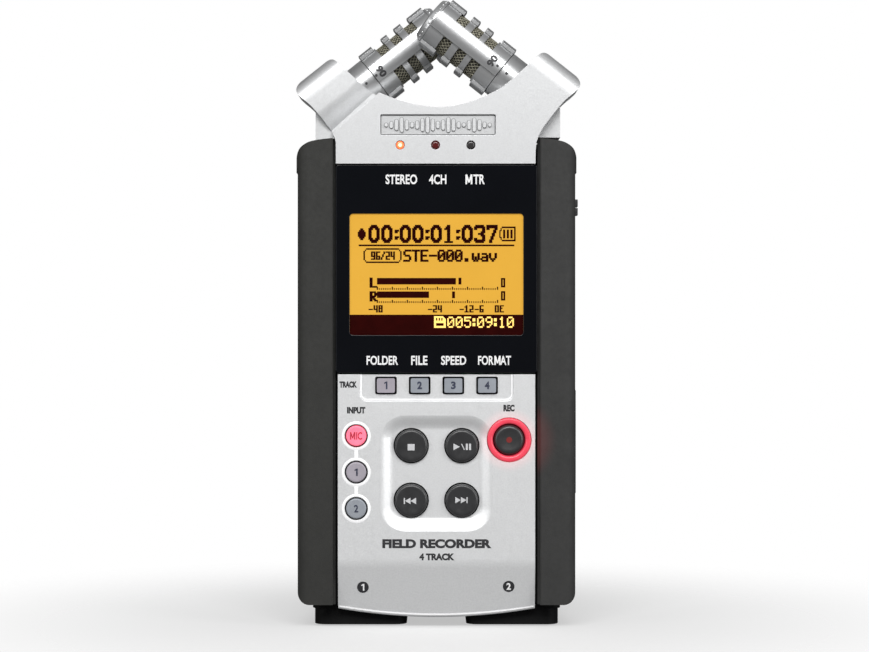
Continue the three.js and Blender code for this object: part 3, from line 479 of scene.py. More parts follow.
# ------------------------------------------------------------------------------- keys
def key_round(name, x, y, r, top, material, dish_=0.12, edge=0.5, bottom=28.3):
    prof = [(0, bottom), (r - 0.1, bottom), (r, bottom + 0.1)]
    for i in range(7):
        a = math.radians(90 * i / 6); prof.append((r - edge + edge * math.cos(a), top - edge + edge * math.sin(a)))
    for i in range(1, 6): prof.append(((r - edge) * (1 - i / 6), top - dish_ * math.sin(math.pi / 2 * i / 6)))
    prof.append((0, top - dish_))
    bm = turned(prof, 64)
    bmesh.ops.translate(bm, vec=(x, y, 0), verts=bm.verts)
    return piece(name + "_cap", bm, name + "_body", material, node=name, ang=60)
def marks(name, body, material, builder, dish_=None):
    bm = bmesh.new(); builder(bm)
    if dish_:
        cx, cy, r, top, deep, z0 = dish_
        for v in bm.verts:
            f = min(1, math.hypot(v.co.x - cx, v.co.y - cy) / r)
            v.co.z += top - deep * math.sin(math.pi / 2 * (1 - f)) - z0
    return piece(name, bm, body, material, wn=False)
for name, x, y in (("stop_button", -6.35, -33.6), ("play_pause_button", 6.35, -33.6), ("rewind_button", -6.35, -47.3), ("forward_button", 6.35, -47.3)):
    key_round(name, x, y, 4.12, 32.4, BTN, 0.22, 0.7)
zt = 32.22
def stop_s(b): boxm(-6.35 - 0.87, -6.35 + 0.87, -34.75, -33.15, zt - 0.06, zt + 0.03, b)
def tri(b, x0, x1, yc, h): prism([(x0, yc - h), (x1, yc), (x0, yc + h)], zt - 0.06, zt + 0.03, b)
def play_s(b):
    tri(b, 4.25, 5.85, -33.85, 0.85)
    prism([(6.15, -33.1), (6.4, -33.1), (7.1, -34.6), (6.85, -34.6)], zt - 0.06, zt + 0.03, b)
    boxm(7.35, 7.85, -34.65, -33.05, zt - 0.06, zt + 0.03, b); boxm(8.15, 8.65, -34.65, -33.05, zt - 0.06, zt + 0.03, b)
def rew_s(b):
    boxm(-8.2, -7.9, -48.15, -46.65, zt - 0.06, zt + 0.03, b)
    for x in (-7.9, -6.5): prism([(x, -47.4), (x + 1.4, -46.6), (x + 1.4, -48.2)], zt - 0.06, zt + 0.03, b)
def fwd_s(b):
    for x in (4.7, 6.1): prism([(x, -46.4), (x + 1.4, -47.2), (x, -48.0)], zt - 0.06, zt + 0.03, b)
    boxm(7.5, 7.8, -47.95, -46.45, zt - 0.06, zt + 0.03, b)
marks("stop_sign", "stop_button_body", GREY_INK, stop_s, dish_=(-6.35, -33.6, 3.65, 32.4, 0.22, zt))
marks("play_pause_sign", "play_pause_button_body", GREY_INK, play_s, dish_=(6.35, -33.6, 3.65, 32.4, 0.22, zt))
marks("rewind_sign", "rewind_button_body", GREY_INK, rew_s, dish_=(-6.35, -47.3, 3.65, 32.4, 0.22, zt))
marks("forward_sign", "forward_button_body", GREY_INK, fwd_s, dish_=(6.35, -47.3, 3.65, 32.4, 0.22, zt))
for name, y, m_, s, ink_m, w in (("mic_input_button", -31.1, BTN_PINK, "MIC", RED_INK, 3.1), ("input_1_button", -40.2, BTN_GREY, "1", NAVY_INK, 0.75), ("input_2_button", -49.3, BTN_GREY2, "2", NAVY_INK, 1.05)):
    key_round(name, -20.1, y, 2.55, 32.62, m_, 0.06, 0.35)
    marks(name + "_print", name + "_body", ink_m, lambda b, s=s, y=y, w=w: (m_into(b, -21.62, -20.35, y - 0.95, y + 0.95, 32.585, 0.05, 0.27), text_into(b, "IC", -19.35, y, 1.9, 1.5, 32.585, bold=0.02, thick=0.05)) if s == "MIC" else text_into(b, s, -20.1, y, 1.85, w, 32.585, bold=0.02, thick=0.05))
for i, x in enumerate((-12.67, -4.22, 4.22, 12.67)):
    bm = prism(rrect(x - 2.25, x + 2.25, -20.3, -16.7, 0.4, 5), 28.3, 32.55)
    bevel(bm, 0.28, 4, 40, lambda c, e: c.z > 32)
    piece(f"track_button_{i+1}_cap", bm, f"track_button_{i+1}_body", (BTN_GREY, BTN_GREY2, BTN_GREY2, BTN_GREY2)[i], node=f"track_button_{i+1}")
    marks(f"track_{i+1}_print", f"track_button_{i+1}_body", NAVY_INK, lambda b, s=str(i + 1), x=x: text_into(b, s, x, -18.45, 1.95, 0.8 if s == "1" else 1.2, 32.55, bold=0.045, thick=0.03))
key_round("rec_button", 18.2, -32.1, 3.75, 32.75, BTN, 0.30, 0.9)
marks("rec_dot", "rec_button_body", REDDOT, lambda b: prism(circ(18.2, -32.1, 0.72, 32), 32.36, 32.50, b))
ring = turned([(4.08, 28.7), (5.48, 28.7), (5.48, 32.35), (5.38, 32.58), (5.2, 32.7), (4.5, 32.66), (4.2, 32.5), (4.08, 32.2)], 72)
bmesh.ops.translate(ring, vec=(18.2, -32.1, 0), verts=ring.verts)
piece("rec_ring", ring, CHASSIS, RING, node="rec_light_ring", ang=60)

# ------------------------------------------------------------------------------- head
ANG = math.radians(38.25)
def mic_matrix(side, z):
    d = Vector((-side * math.cos(ANG), math.sin(ANG), 0)); X = Vector((0, 0, 1)); Y = d.cross(X)
    return Matrix(((X.x, Y.x, d.x, side * 10.4), (X.y, Y.y, d.y, 64.8), (X.z, Y.z, d.z, z), (0, 0, 0, 1)))
MR, ML = mic_matrix(1, 25.3), mic_matrix(-1, 10.7)
TURN = Matrix.Translation((0, 0, 18)) @ Matrix.Rotation(math.pi, 4, "Y") @ Matrix.Translation((0, 0, -18))
def spline(p, n):
    out = []
    for i in range(len(p) - 1):
        p0 = Vector(p[max(i - 1, 0)]); p1 = Vector(p[i]); p2 = Vector(p[i + 1]); p3 = Vector(p[min(i + 2, len(p) - 1)])
        for k in range(n):
            t = k / n
            q = 0.5 * ((2 * p1) + (p2 - p0) * t + (2 * p0 - 5 * p1 + 4 * p2 - p3) * t * t + (3 * p1 - p0 - 3 * p2 + p3) * t ** 3)
            out.append((q.x, q.y))
    return out + [tuple(p[-1])]
ARCH = spline([(22.7, 61.7), (19.2, 58.3), (16.3, 56.05), (10.9, 53.4), (5.9, 51.85), (0.6, 51.2), (-4.9, 51.8), (-10, 53.15), (-14.35, 54.8)], 6)
OUTER = spline([(24.8, 40.15), (25.0, 42.4), (25.6, 44.1), (27.0, 46.6), (31.2, 51.95), (34.0, 54.4), (35.5, 55.7), (36.2, 57.2)], 4)
def head_outline(base):
    tip = [(36.05, 58.0), (35.3, 58.9), (34.6, 59.55), (28.4, 64.7), (27.7, 65.2), (27.1, 65.3), (26.3, 64.9)]
    if base:
        return [(24.8, 37.0)] + OUTER + tip + ARCH + [(-20.2, 49.7), (-26.0, 44.65), (-25.4, 43.4), (-25.2, 42.2), (-25.2, 37.0)]
    o = [p for p in OUTER if p[1] > 43.9]
    return [(25.3, 43.78)] + o + tip + ARCH + [(-20.2, 49.7), (-26.0, 44.65), (-25.6, 43.78)]
D_ = Vector((-math.cos(ANG), math.sin(ANG), 0)); N_AX = Vector((math.sin(ANG), math.cos(ANG), 0)); C0 = Vector((10.4, 64.8, 0))
def ear_point(s_, lat, z):
    q = C0 + D_ * s_ + N_AX * lat
    return (q.x, q.y, z)
def ear():
    """One raised ear as a stack of slices across the microphone's axis, from the plate up to its rounded shoulder."""
    def interp(t, tab):
        for (a, va), (b_, vb) in zip(tab, tab[1:]):
            if t <= b_: return va + (vb - va) * max(0, (t - a) / (b_ - a))
        return tab[-1][1]
    S_OUT = [(-6.6, -24.4), (-4, -24.35), (0, -24.3), (3, -24.35), (5, -24.6), (6.5, -25.0), (8.4, -25.3), (9.6, -25.1), (10.3, -24.5), (10.8, -23.5), (11.0, -22.6)]
    S_IN = [(-6.6, -8.6), (-5, -9.3), (-3.2, -10.05), (0.3, -10.9), (5.2, -11.65), (8.0, -12.1), (9.6, -12.35), (10.3, -12.7), (10.8, -13.4), (11.0, -14.2)]
    lats = [-6.6, -6.2, -5.8, -5.2, -4.6, -4.0, -3.4, -2.8, -2.2, -1.6, -0.8, 0.0, 0.7, 1.4, 2.0, 4.0, 5.5, 6.5, 7.2, 7.8, 8.4, 8.9, 9.4, 9.8, 10.15, 10.45, 10.7, 10.88, 11.0]
    rings = []
    for lt in lats:
        up = 4.4 * (1 - math.sqrt(max(0.0, 1 - max(0.0, (lt - 6.0) / 5.03) ** 2)))
        lo = 18.15 + up + 7.5 * (1 - math.sqrt(max(0.0, 1 - max(0.0, (2.0 - lt) / 9.0) ** 2)))
        hi = 33.0 - up
        si, so = interp(lt, S_IN), interp(lt, S_OUT)
        rings.append([ear_point(so, lt, lo), ear_point(si, lt, lo), ear_point(si, lt, hi), ear_point(so, lt, hi)])
    return loft(rings)
def head_half(base):
    if base: o = [(24.8, 37.0), (24.8, 40.15), (25.0, 42.4), (25.6, 44.1), (26.9, 46.4)] + [(14.35, 56.4)] + [p for p in ARCH if p[0] < 16.4] + [(-20.2, 49.7), (-26.0, 44.65), (-25.4, 43.4), (-25.2, 42.2), (-25.2, 37.0)]
    else: o = [(25.3, 43.78), (25.6, 44.1), (26.9, 46.4)] + [(14.35, 56.4)] + [p for p in ARCH if p[0] < 16.4] + [(-20.2, 49.7), (-26.0, 44.65), (-25.6, 43.78)]
    o = [p for p in o if p != (14.35, 56.4)]
    h = prism(o, 18.15, 33.0)
    e = ear()
    h = boolean(h, e, "UNION"); e.free()
    if base: neck = prism([(-24.9, 43.78), (10.0, 43.78), (10.0, 50.4), (-8.0, 50.4), (-20.0, 49.5), (-24.9, 45.4)], 18.15, 26.0)
    else: neck = prism([(-31.1, 43.78), (31.1, 43.78), (31.1, 51.6), (22.0, 51.9), (8.0, 50.4), (-8.0, 50.4), (-14, 51.6), (-25.0, 50.9), (-30.0, 49.8), (-31.1, 49.2)], 20.5, 26.0)
    bevel(neck, 1.5, 6, 40, lambda c, e_: (c.z > 25.9 or c.z < 20.6) and not base and abs(c.x) > 30.9)
    h = boolean(h, neck, "UNION"); neck.free()
    if base:
        neck = prism([(9.0, 43.78), (31.1, 43.78), (31.1, 51.6), (22.0, 51.9), (9.0, 50.4)], 18.15, 29.6)
        bevel(neck, 2.6, 6, 40, lambda c, e_: c.z > 29.5 and c.x > 30.9)
        h = boolean(h, neck, "UNION"); neck.free()
    hollow = prism([(-22.8, 45.8), (22.2, 45.8), (13.9, 52.0), (11.6, 51.2), (6.2, 49.2), (0.6, 48.6), (-5.2, 49.2), (-10.6, 50.5), (-14.0, 51.6)], 16, 31.0)
    h = boolean(h, hollow); hollow.free()
    bore = prism(circ(0, 0, 6.25, 64), -13.5, 9)
    bmesh.ops.transform(bore, matrix=MR, verts=bore.verts)
    h = boolean(h, bore); bore.free()
    return h
front = head_half(True)
cut = bmesh.new()
for x in (-9.1, -0.25, 8.6): prism(circ(x, 41.65, 1.12, 32), 28, 40, cut)
prism(rrect(-14.05, 14.8, 44.15, 49.3, 0.35, 4), 32.30, 40, cut)
front = boolean(front, cut); cut.free()
bevel(front, 0.5, 4, 48, lambda c, e: c.z > 26.2 and not (-14.6 < c.x < 15.2 and 39 < c.y < 49.7 and c.z > 32.3))
bevel(front, 0.10, 2, 42, lambda c, e: c.z > 32.2 and -14.6 < c.x < 15.2 and 39 < c.y < 49.7)
piece("head_front", front, CHASSIS, SILVER, node="head_front_shell", ang=48)
rear = head_half(False)
bevel(rear, 0.5, 4, 48, lambda c, e: c.z > 26.2 or c.x > 27)
bmesh.ops.transform(rear, matrix=TURN, verts=rear.verts)
piece("head_rear", rear, CHASSIS, SILVER, node="head_rear_shell", ang=48)
# badge plate: a row of level bars instead of a name
b = bmesh.new()
# a dark rim round the badge: painted shade in the groove round the plate
fr = prism(rrect(-14.02, 14.77, 44.18, 49.27, 0.3, 4), 32.2, 32.38)
piece("badge_shade_frame", fr, CHASSIS, BADGE_SHADE)
fl = prism(rrect(-13.80, 14.55, 44.42, 49.02, 0.2, 4), 32.2, 32.46)
piece("badge_floor", fl, CHASSIS, BADGE_FLOOR)
heights = [0.9, 1.6, 2.7, 3.6, 2.4, 1.3, 2.0, 3.2, 3.9, 2.9, 1.7, 2.5, 3.7, 3.0, 1.5, 1.0, 2.2, 3.4, 2.6, 1.4, 0.9]
for i, hgt in enumerate(heights):
    x = -12.6 + i * 1.297; prism(rrect(x - 0.40, x + 0.40, 46.72 - hgt / 2, 46.72 + hgt / 2, 0.38, 5), 32.35, 32.92, b)
bevel(b, 0.12, 3, 60, lambda c, e: c.z > 32.7)
# slightly larger dark copies under the bars: painted shadows round the raised bars
o_ = bmesh.new()
for i, hgt in enumerate(heights):
    x = -12.6 + i * 1.297; prism(rrect(x - 0.53, x + 0.53, 46.72 - hgt / 2 - 0.13, 46.72 + hgt / 2 + 0.13, 0.5, 5), 32.40, 32.50, o_)
piece("badge_bar_shadows", o_, CHASSIS, BADGE_SHADE)
piece("badge_bars", b, CHASSIS, SILVER)
for i, (x, m_, nm) in enumerate(((-9.1, LED_ON, "led_stereo"), (-0.25, LED_OFF, "led_four_channel"), (8.6, LED_OFF2, "led_multitrack"))):
    bm = turned([(0, 29.2), (1.0, 29.2), (1.0, 32.75), (0.85, 32.95), (0.55, 33.0), (0, 33.0)], 32)
    bmesh.ops.translate(bm, vec=(x, 41.65, 0), verts=bm.verts)
    piece(nm + "_lens", bm, CHASSIS, m_, node=nm, ang=60)
    rim = turned([(1.02, 32.5), (1.12, 32.5), (1.12, 32.98), (1.02, 32.98)], 32)
    bmesh.ops.translate(rim, vec=(x, 41.65, 0), verts=rim.verts)
    piece(nm + "_rim", rim, CHASSIS, LED_OFF if i < 2 else LED_OFF2)
core = turned([(0, 32.9), (0.5, 32.9), (0.42, 33.02), (0, 33.04)], 24)
bmesh.ops.translate(core, vec=(-9.1, 41.65, 0), verts=core.verts)
piece("led_stereo_core", core, CHASSIS, LED_HOT)

# ------------------------------------------------------------------------------- microphones
RIBS = [(-6.95, -2.34), (0.44, 2.06), (4.64, 6.6), (9.4, 13.6)]
WINS = [(-2.34, 0.44), (2.06, 4.64), (6.6, 9.4)]
def mic(side, word_, MM, body):
    a0, a1 = (-16.0, 25.5) if side > 0 else (-25.5, 16.0)
    c = turned([(5.45, -6.95), (6.2, -6.95), (6.2, 13.6), (5.45, 13.6)], 96)
    cut = bmesh.new()
    for s0, s1 in WINS:
        prism(sector(0, 9, a1 + 1.5, 180 + a0 - 1.5, 24), s0, s1, cut); prism(sector(0, 9, 180 + a1 + 1.5, 360 + a0 - 1.5, 24), s0, s1, cut)
    c = boolean(c, cut); cut.free()
    ex = bmesh.new()
    for o in (0, 180): prism(sector(5.6, 6.72, o + a0, o + a1, 10), -6.95, 13.6, ex)
    c = boolean(c, ex, "UNION"); ex.free()
    ex = bmesh.new()
    for s_ in (-1, 1):
        for s0, s1 in ((-6.9, -2.85), (0.3, 2.2), (4.5, 6.7), (8.9, 13.5)):
            y0, y1 = (5.6, 7.05) if s_ > 0 else (-7.05, -5.6)
            yy = 7.05 * s_; yi = 5.6 * s_
            prism([(-2.9, yi), (2.9, yi), (2.9, 6.45 * s_), (2.2, yy), (-2.2, yy), (-2.9, 6.45 * s_)], s0, s1, ex)
    c = boolean(c, ex, "UNION"); ex.free()
    inner = prism(circ(0, 0, 5.45, 96), -9, 15)
    c = boolean(c, inner); inner.free()
    bevel(c, 0.13, 2, 42)
    T = M @ MM
    piece(f"mic_cage_{word_}_skin", c, body, MIC_M, node=f"mic_cage_{word_}", m=T, ang=44)
    # thin dark line where the front rail meets the barrel
    line = bmesh.new()
    for a in ((a0 - 1.1, a0 - 0.2) if side > 0 else (a1 + 0.2, a1 + 1.1),): prism(sector(6.0, 6.28, a[0], a[1], 2), -6.9, 13.5, line)
    piece(f"mic_line_{word_}", line, body, LED_OFF2, m=T)
    # woven wire: two families of round wires wound in opposite senses
    w = bmesh.new(); N, STEPS, R = 34, 26, 5.62
    z0, z1 = -2.6, 9.7
    for fam in (1, -1):
        for k in range(N):
            prev = None
            for i in range(STEPS + 1):
                t = i / STEPS; a = 2 * math.pi * k / N + fam * 1.9 * t; r = R + 0.09 * math.sin(i * 2.2 + k * math.pi) * fam
                z = z0 + (z1 - z0) * t; q = []
                ca, sa = math.cos(a), math.sin(a)
                for dx, dr in ((0.10, 0), (0, 0.11), (-0.10, 0), (0, -0.11)):
                    q.append(w.verts.new(((r + dr) * ca - dx * sa, (r + dr) * sa + dx * ca, z)))
                if prev:
                    for j in range(4): w.faces.new((prev[j], prev[(j + 1) % 4], q[(j + 1) % 4], q[j]))
                else: w.faces.new(q[::-1])
                prev = q
            w.faces.new(prev)
    for v in w.verts:      # wires stay inside the cage
        r = math.hypot(v.co.x, v.co.y)
        if r > 5.72: v.co.x *= 5.72 / r; v.co.y *= 5.72 / r
    piece(f"mic_weave_{word_}", w, body, MESH_M, m=T, wn=False, ang=80)
    back = turned([(5.0, -6.5), (5.36, -6.5), (5.36, 12.3), (5.0, 12.3)], 64)
    piece(f"mic_screen_{word_}_skin", back, body, MESH_BACK, node=f"mic_screen_{word_}", m=T)
    cap = turned([(0, 12.5), (5.3, 12.5), (5.3, 13.66), (6.28, 13.66), (6.32, 13.9), (6.2, 14.3), (5.75, 15.2), (5.5, 15.45), (5.1, 15.5), (4.9, 15.15), (3.0, 15.1), (2.6, 15.6), (2.2, 15.78), (0, 15.78)], 72)
    piece(f"mic_cap_{word_}_skin", cap, body, MIC_M, node=f"mic_cap_{word_}", m=T, ang=50)
    kn = bmesh.new()
    for i in range(12):
        t = bmesh.new(); boxm(2.9, 6.05, -0.32, 0.32, 14.2, 15.35, t)
        for v in t.verts:
            if v.co.x > 6 and v.co.z > 15: v.co.x = 5.3
        bevel(t, 0.1, 2, 40)
        add_bm(kn, t, Matrix.Rotation(math.radians(15 + 30 * i), 4, "Z")); t.free()
    for i in range(24):
        t = bmesh.new(); bmesh.ops.create_uvsphere(t, u_segments=10, v_segments=6, radius=0.33)
        bmesh.ops.translate(t, vec=(6.02, 0, 14.35), verts=t.verts)
        add_bm(kn, t, Matrix.Rotation(math.radians(15 * i), 4, "Z")); t.free()
    piece(f"mic_cap_ribs_{word_}", kn, body, MIC_M, m=T, wn=False)
    col = turned([(4.3, -12.9), (6.1, -12.9), (6.1, -7.20), (5.98, -7.06), (4.3, -7.06)], 96)
    piece(f"mic_collar_{word_}_skin", col, CHASSIS, MIC_M, node=f"mic_collar_{word_}", m=T, ang=60)
    # printed 90 and the two alignment dots, wrapped round the barrel
    ink = bmesh.new(); sgn = 1 if side > 0 else -1
    text_into(ink, "90", 0, 0, 2.0, 3.0, 0, bold=0.055, thick=0.03)
    for v in ink.verts:
        u, t_, hgt = v.co.x, v.co.y, v.co.z          # u: reading direction, t_: up in the character
        lat = 0.72 + u if side > 0 else 0.05 + u
        ang_ = lat / 6.74; r = 6.73 + hgt
        v.co = Vector((r * math.cos(ang_), r * math.sin(ang_), (-4.1 if side > 0 else -4.85) + t_))
    def dot(b_, s_, r_, lat, R_):
        t = prism(circ(0, 0, r_, 24), 0, 0.03)
        for v in t.verts:
            an = (lat + v.co.x) / R_; rr = R_ + v.co.z
            v.co = Vector((rr * math.cos(an), rr * math.sin(an), s_ + v.co.y))
        add_bm(b_, t); t.free()
    dot(ink, -5.85 if side > 0 else -6.5, 0.36, 0.5 if side > 0 else 0.1, 6.73)
    piece(f"mic_print_{word_}", ink, body, BLACK_INK, m=T, wn=False)
    ink = bmesh.new(); dot(ink, -8.8 if side > 0 else -9.75, 0.36, 0.45 if side > 0 else 0.1, 6.115)
    piece(f"mic_collar_dot_{word_}", ink, CHASSIS, BLACK_INK, m=T, wn=False)
mic(1, "right", MR, "microphone_right")
mic(-1, "left", ML, "microphone_left")

# ------------------------------------------------------------------------------- grips
def arc2(cx, cy, r, a0, a1, n): return [(cx + r * math.cos(math.radians(a0 + (a1 - a0) * i / n)), cy + r * math.sin(math.radians(a0 + (a1 - a0) * i / n))) for i in range(n + 1)]
def grip(side):
    sec = [(35.15, 16.2), (35.2, 22.0), (35.2, 29.0)] + arc2(32.0, 29.8, 3.2, 0, 90, 10)[1:] + [(26.2, 33.0), (25.9, 32.75), (25.9, 31.0), (25.35, 30.9), (25.35, 30.0), (32.9, 30.0), (32.9, 16.2)]
    out = [(25.0, -73.4), (31.6, -73.4)] + arc2(31.8, -70.4, 3.0, -86, 0, 8) + [(34.8, 34.4), (35.2, 34.9), (35.2, 37.4)] + \
          spline([(35.2, 37.4), (35.1, 39.0), (34.5, 40.6), (33.4, 41.7), (31.6, 42.6), (29.0, 43.1), (26.2, 43.4)], 4)[1:] + [(25.0, 43.4)]
    # the section runs in x and z, along y
    rings = [[(x, y, z) for x, z in sec] for y in (-74.0, 44.0)]
    g = loft(rings)
    e = bmesh.new(); boxm(25.9, 34.4, 41.3, 45.0, 16.2, 30.9, e)
    g = boolean(g, e, "UNION"); e.free()
    e = bmesh.new(); boxm(31.6, 34.4, -75.0, -71.5, 16.2, 30.9, e)
    g = boolean(g, e, "UNION"); e.free()
    o = prism(out, 10, 40)
    g = boolean(g, o, "INTERSECT"); o.free()
    cut = bmesh.new()
    if side > 0:
        for a in ((31, 40, 18.9, 34.0, 20.2, 26.8), (31, 40, 3.4, 14.0, 20.4, 25.0), (31, 40, -8.3, -1.7, 20.6, 25.2), (31, 40, -46.6, -19.4, 19.6, 27.4)): boxm(*a, cut)
    else:
        for a in ((31, 40, 18.9, 34.0, 20.2, 26.8), (31, 40, -2.6, 10.6, 20.6, 26.4), (31, 40, -35.9, -28.1, 20.4, 25.0)): boxm(*a, cut)
        t = prism(circ(0, 0, 3.2, 40), 30, 42)
        add_bm(cut, t, Matrix(((0, 0, 1, 0), (1, 0, 0, -14.0), (0, 1, 0, 23.5), (0, 0, 0, 1)))); t.free()
    g = boolean(g, cut); cut.free()
    if side < 0: bmesh.ops.scale(g, vec=(-1, 1, 1), verts=g.verts); bmesh.ops.reverse_faces(g, faces=g.faces)
    bevel(g, 0.5, 4, 34, lambda c, e: c.y > 42.3 or c.y < -72.9)
    bevel(g, 0.22, 3, 34, lambda c, e: c.z > 16.5)
    return g
piece("right_grip_skin", grip(1), CHASSIS, GRIP_LIT, node="right_grip", ang=40)
piece("left_grip_skin", grip(-1), CHASSIS, GRIP, node="left_grip", ang=40)

# ------------------------------------------------------------------------------- the rest of the case
refined("rear_shell", "rear_shell_skin", CHASSIS, CASE, 0.3, 3)
refined("input_housing", "input_housing_skin", CHASSIS, HOUSING_SHADED_M, 0.4, 3)
for n_ in ("input_jack_1", "input_jack_2"): refined(n_, n_ + "_skin", CHASSIS, JACK, 0.25, 3)
refined("dc_jack", "dc_jack_skin", CHASSIS, JACK, 0.15, 2)
refined("phones_jack", "phones_jack_skin", CHASSIS, JACK, 0.15, 2)
refined("usb_socket", "usb_socket_skin", CHASSIS, STEEL, 0.12, 2)
refined("tripod_bush", "tripod_bush_skin", CHASSIS, BRASS, 0.25, 3)
for i in range(1, 5): refined(f"case_screw_{i}", f"case_screw_{i}_skin", CHASSIS, STEEL, 0.12, 2)
refined("rec_level_rocker", "rec_level_rocker_skin", "rec_level_rocker_body", BTN, 0.3, 3)
refined("volume_rocker", "volume_rocker_skin", "volume_rocker_body", BTN, 0.3, 3)
refined("power_switch", "power_switch_skin", "power_switch_body", BTN, 0.22, 3)
refined("menu_button", "menu_button_skin", "menu_button_body", BTN, 0.3, 3)
refined("jog_dial", "jog_dial_skin", "jog_dial_body", BTN, 0.15, 2)
refined("sd_door", "sd_door_skin", "sd_door_body", GRIP, 0.3, 3)
refined("sd_card", "sd_card_skin", "sd_card_body", JACK, 0.15, 2)
refined("battery_door", "battery_door_skin", "battery_door_body", CASE, 0.3, 3)
b = bmesh.new()      # grip ribs and arrow on the battery door
for i in range(7): prism(rrect(-6.5, 6.5, -44.2 + i * 1.5, -43.5 + i * 1.5, 0.34, 4), -0.0, 0.25, b)
prism([(-2.2, -29.8), (2.2, -29.8), (0, -32.6)], 0.0, 0.25, b)
bmesh.ops.translate(b, vec=(0, 0, -0.17), verts=b.verts)
piece("battery_door_ribs", b, "battery_door_body", CASE)
N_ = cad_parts
for n_, m_ in (("lcd_module", JACK), ("main_board", BOARD), ("button_mat", JACK), ("speaker", JACK), ("battery_1", CELL), ("battery_2", CELL),
               ("battery_contact_spring", STEEL), ("sd_socket", STEEL), ("mic_capsule_left", JACK), ("mic_capsule_right", JACK)):
    me = N_[n_].data; me.materials.clear(); me.materials.append(m_)

# ------------------------------------------------------------------------------- floor, light, camera
def stage_mat():
    m = bpy.data.materials.new("floor_m"); m.use_nodes = True
    nt = m.node_tree; b = nt.nodes["Principled BSDF"]; L = nt.links.new
    tc = nt.nodes.new("ShaderNodeTexCoord"); vm = nt.nodes.new("ShaderNodeVectorMath"); vm.operation = "LENGTH"
    L(tc.outputs["Object"], vm.inputs[0])
    mr = nt.nodes.new("ShaderNodeMapRange"); mr.interpolation_type = "SMOOTHSTEP"
    mr.inputs["From Min"].default_value = 0.035; mr.inputs["From Max"].default_value = 0.17
    mr.inputs["To Min"].default_value = 1.0; mr.inputs["To Max"].default_value = 0.0
    L(vm.outputs["Value"], mr.inputs["Value"])
    L(mr.outputs["Result"], b.inputs["Alpha"])
    n = nt.nodes.new("ShaderNodeTexNoise"); n.inputs["Scale"].default_value = 3
    cr = nt.nodes.new("ShaderNodeValToRGB"); cr.color_ramp.elements[0].color = (0.27, 0.27, 0.27, 1); cr.color_ramp.elements[1].color = (0.30, 0.30, 0.30, 1)
    L(tc.outputs["Object"], n.inputs["Vector"]); L(n.outputs["Fac"], cr.inputs["Fac"]); L(cr.outputs["Color"], b.inputs["Base Color"])
    b.inputs["Roughness"].default_value = 0.9; b.inputs["Specular IOR Level"].default_value = 0.1
    b.inputs["Emission Color"].default_value = (1, 1, 1, 1); b.inputs["Emission Strength"].default_value = 0.50
    d = nt.nodes.new("ShaderNodeBsdfDiffuse"); d.inputs["Color"].default_value = (0.22, 0.22, 0.22, 1)
    lp = nt.nodes.new("ShaderNodeLightPath"); mx = nt.nodes.new("ShaderNodeMixShader")
    out = nt.nodes["Material Output"]
    L(lp.outputs["Is Camera Ray"], mx.inputs[0]); L(d.outputs[0], mx.inputs[1]); L(b.outputs[0], mx.inputs[2]); L(mx.outputs[0], out.inputs["Surface"])
    return m
me = bpy.data.meshes.new("floor")
bm = bmesh.new(); bmesh.ops.create_circle(bm, cap_ends=True, segments=96, radius=0.45); bm.to_mesh(me); bm.free()
floor = bpy.data.objects.new("floor", me); S.collection.objects.link(floor); me.materials.append(stage_mat())
floor.location = (0, 0, -0.0004)

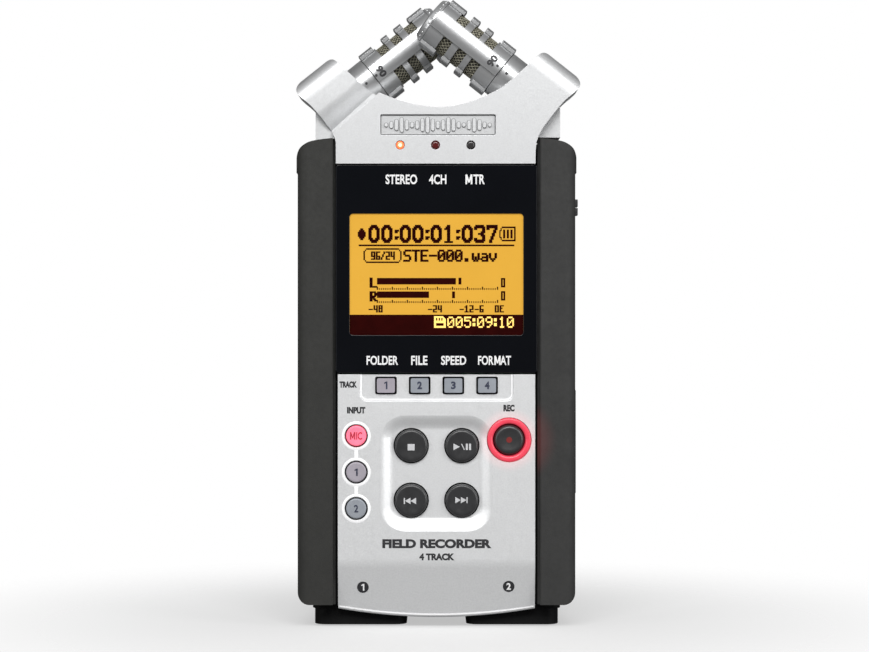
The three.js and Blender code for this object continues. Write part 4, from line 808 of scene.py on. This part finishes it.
w = bpy.data.worlds.new("studio"); S.world = w; w.use_nodes = True
nt = w.node_tree; bg = nt.nodes["Background"]; L = nt.links.new
tc = nt.nodes.new("ShaderNodeTexCoord"); sx = nt.nodes.new("ShaderNodeSeparateXYZ"); L(tc.outputs["Generated"], sx.inputs[0])
ma = nt.nodes.new("ShaderNodeMath"); ma.operation = "MULTIPLY_ADD"; ma.inputs[1].default_value = 0.5; ma.inputs[2].default_value = 0.5
L(sx.outputs["Y"], ma.inputs[0])
mr = nt.nodes.new("ShaderNodeValToRGB"); L(ma.outputs[0], mr.inputs["Fac"]); cr = mr.color_ramp
cr.elements[0].position = 0.015; cr.elements[0].color = (0.04, 0.04, 0.04, 1)
cr.elements[1].position = 0.13; cr.elements[1].color = (0.30, 0.30, 0.30, 1)
for p_, c_ in ((0.45, 0.26), (0.72, 0.10), (0.95, 0.08)):
    e_ = cr.elements.new(p_); e_.color = (c_, c_, c_, 1)
lp = nt.nodes.new("ShaderNodeLightPath")
mx = nt.nodes.new("ShaderNodeMix"); mx.data_type = "FLOAT"
L(lp.outputs["Is Camera Ray"], mx.inputs["Factor"]); L(mr.outputs["Color"], mx.inputs["A"]); mx.inputs["B"].default_value = 1.0
bg.inputs["Color"].default_value = (1, 1, 1, 1); L(mx.outputs["Result"], bg.inputs["Strength"])

def area(name, loc, target, size, energy, size_y=None):
    ld = bpy.data.lights.new(name, "AREA"); ld.energy = energy; ld.shape = "RECTANGLE"; ld.size = size; ld.size_y = size_y or size
    o = bpy.data.objects.new(name, ld); S.collection.objects.link(o)
    loc, target = M @ Vector(loc), M @ Vector(target)
    o.location = loc; o.rotation_euler = (target - loc).to_track_quat("-Z", "Y").to_euler()
    return o
area("key_top", (-40, 1100, 1480), (0, 0, 16), 1.5, 39.5, 0.7)
area("side_left", (-520, 120, 420), (0, 0, 16), 0.25, 1.2, 0.5)
area("side_right", (520, 140, 420), (0, 0, 16), 0.25, 2.2, 0.5)
area("back_top", (0, 500, -420), (0, 40, 16), 0.6, 0.12, 0.4)

cam = bpy.data.cameras.new("camera"); co = bpy.data.objects.new("camera", cam); S.collection.objects.link(co)
cam.lens = 99.4; cam.sensor_width = 36; cam.clip_start = 0.01; cam.clip_end = 20
pos = M @ Vector((-0.5, -3.6, 633)); co.location = pos
co.rotation_euler = (math.radians(90), 0, 0)
S.camera = co
S.view_settings.view_transform = "Standard"; S.view_settings.look = "None"; S.view_settings.exposure = 0; S.view_settings.gamma = 1
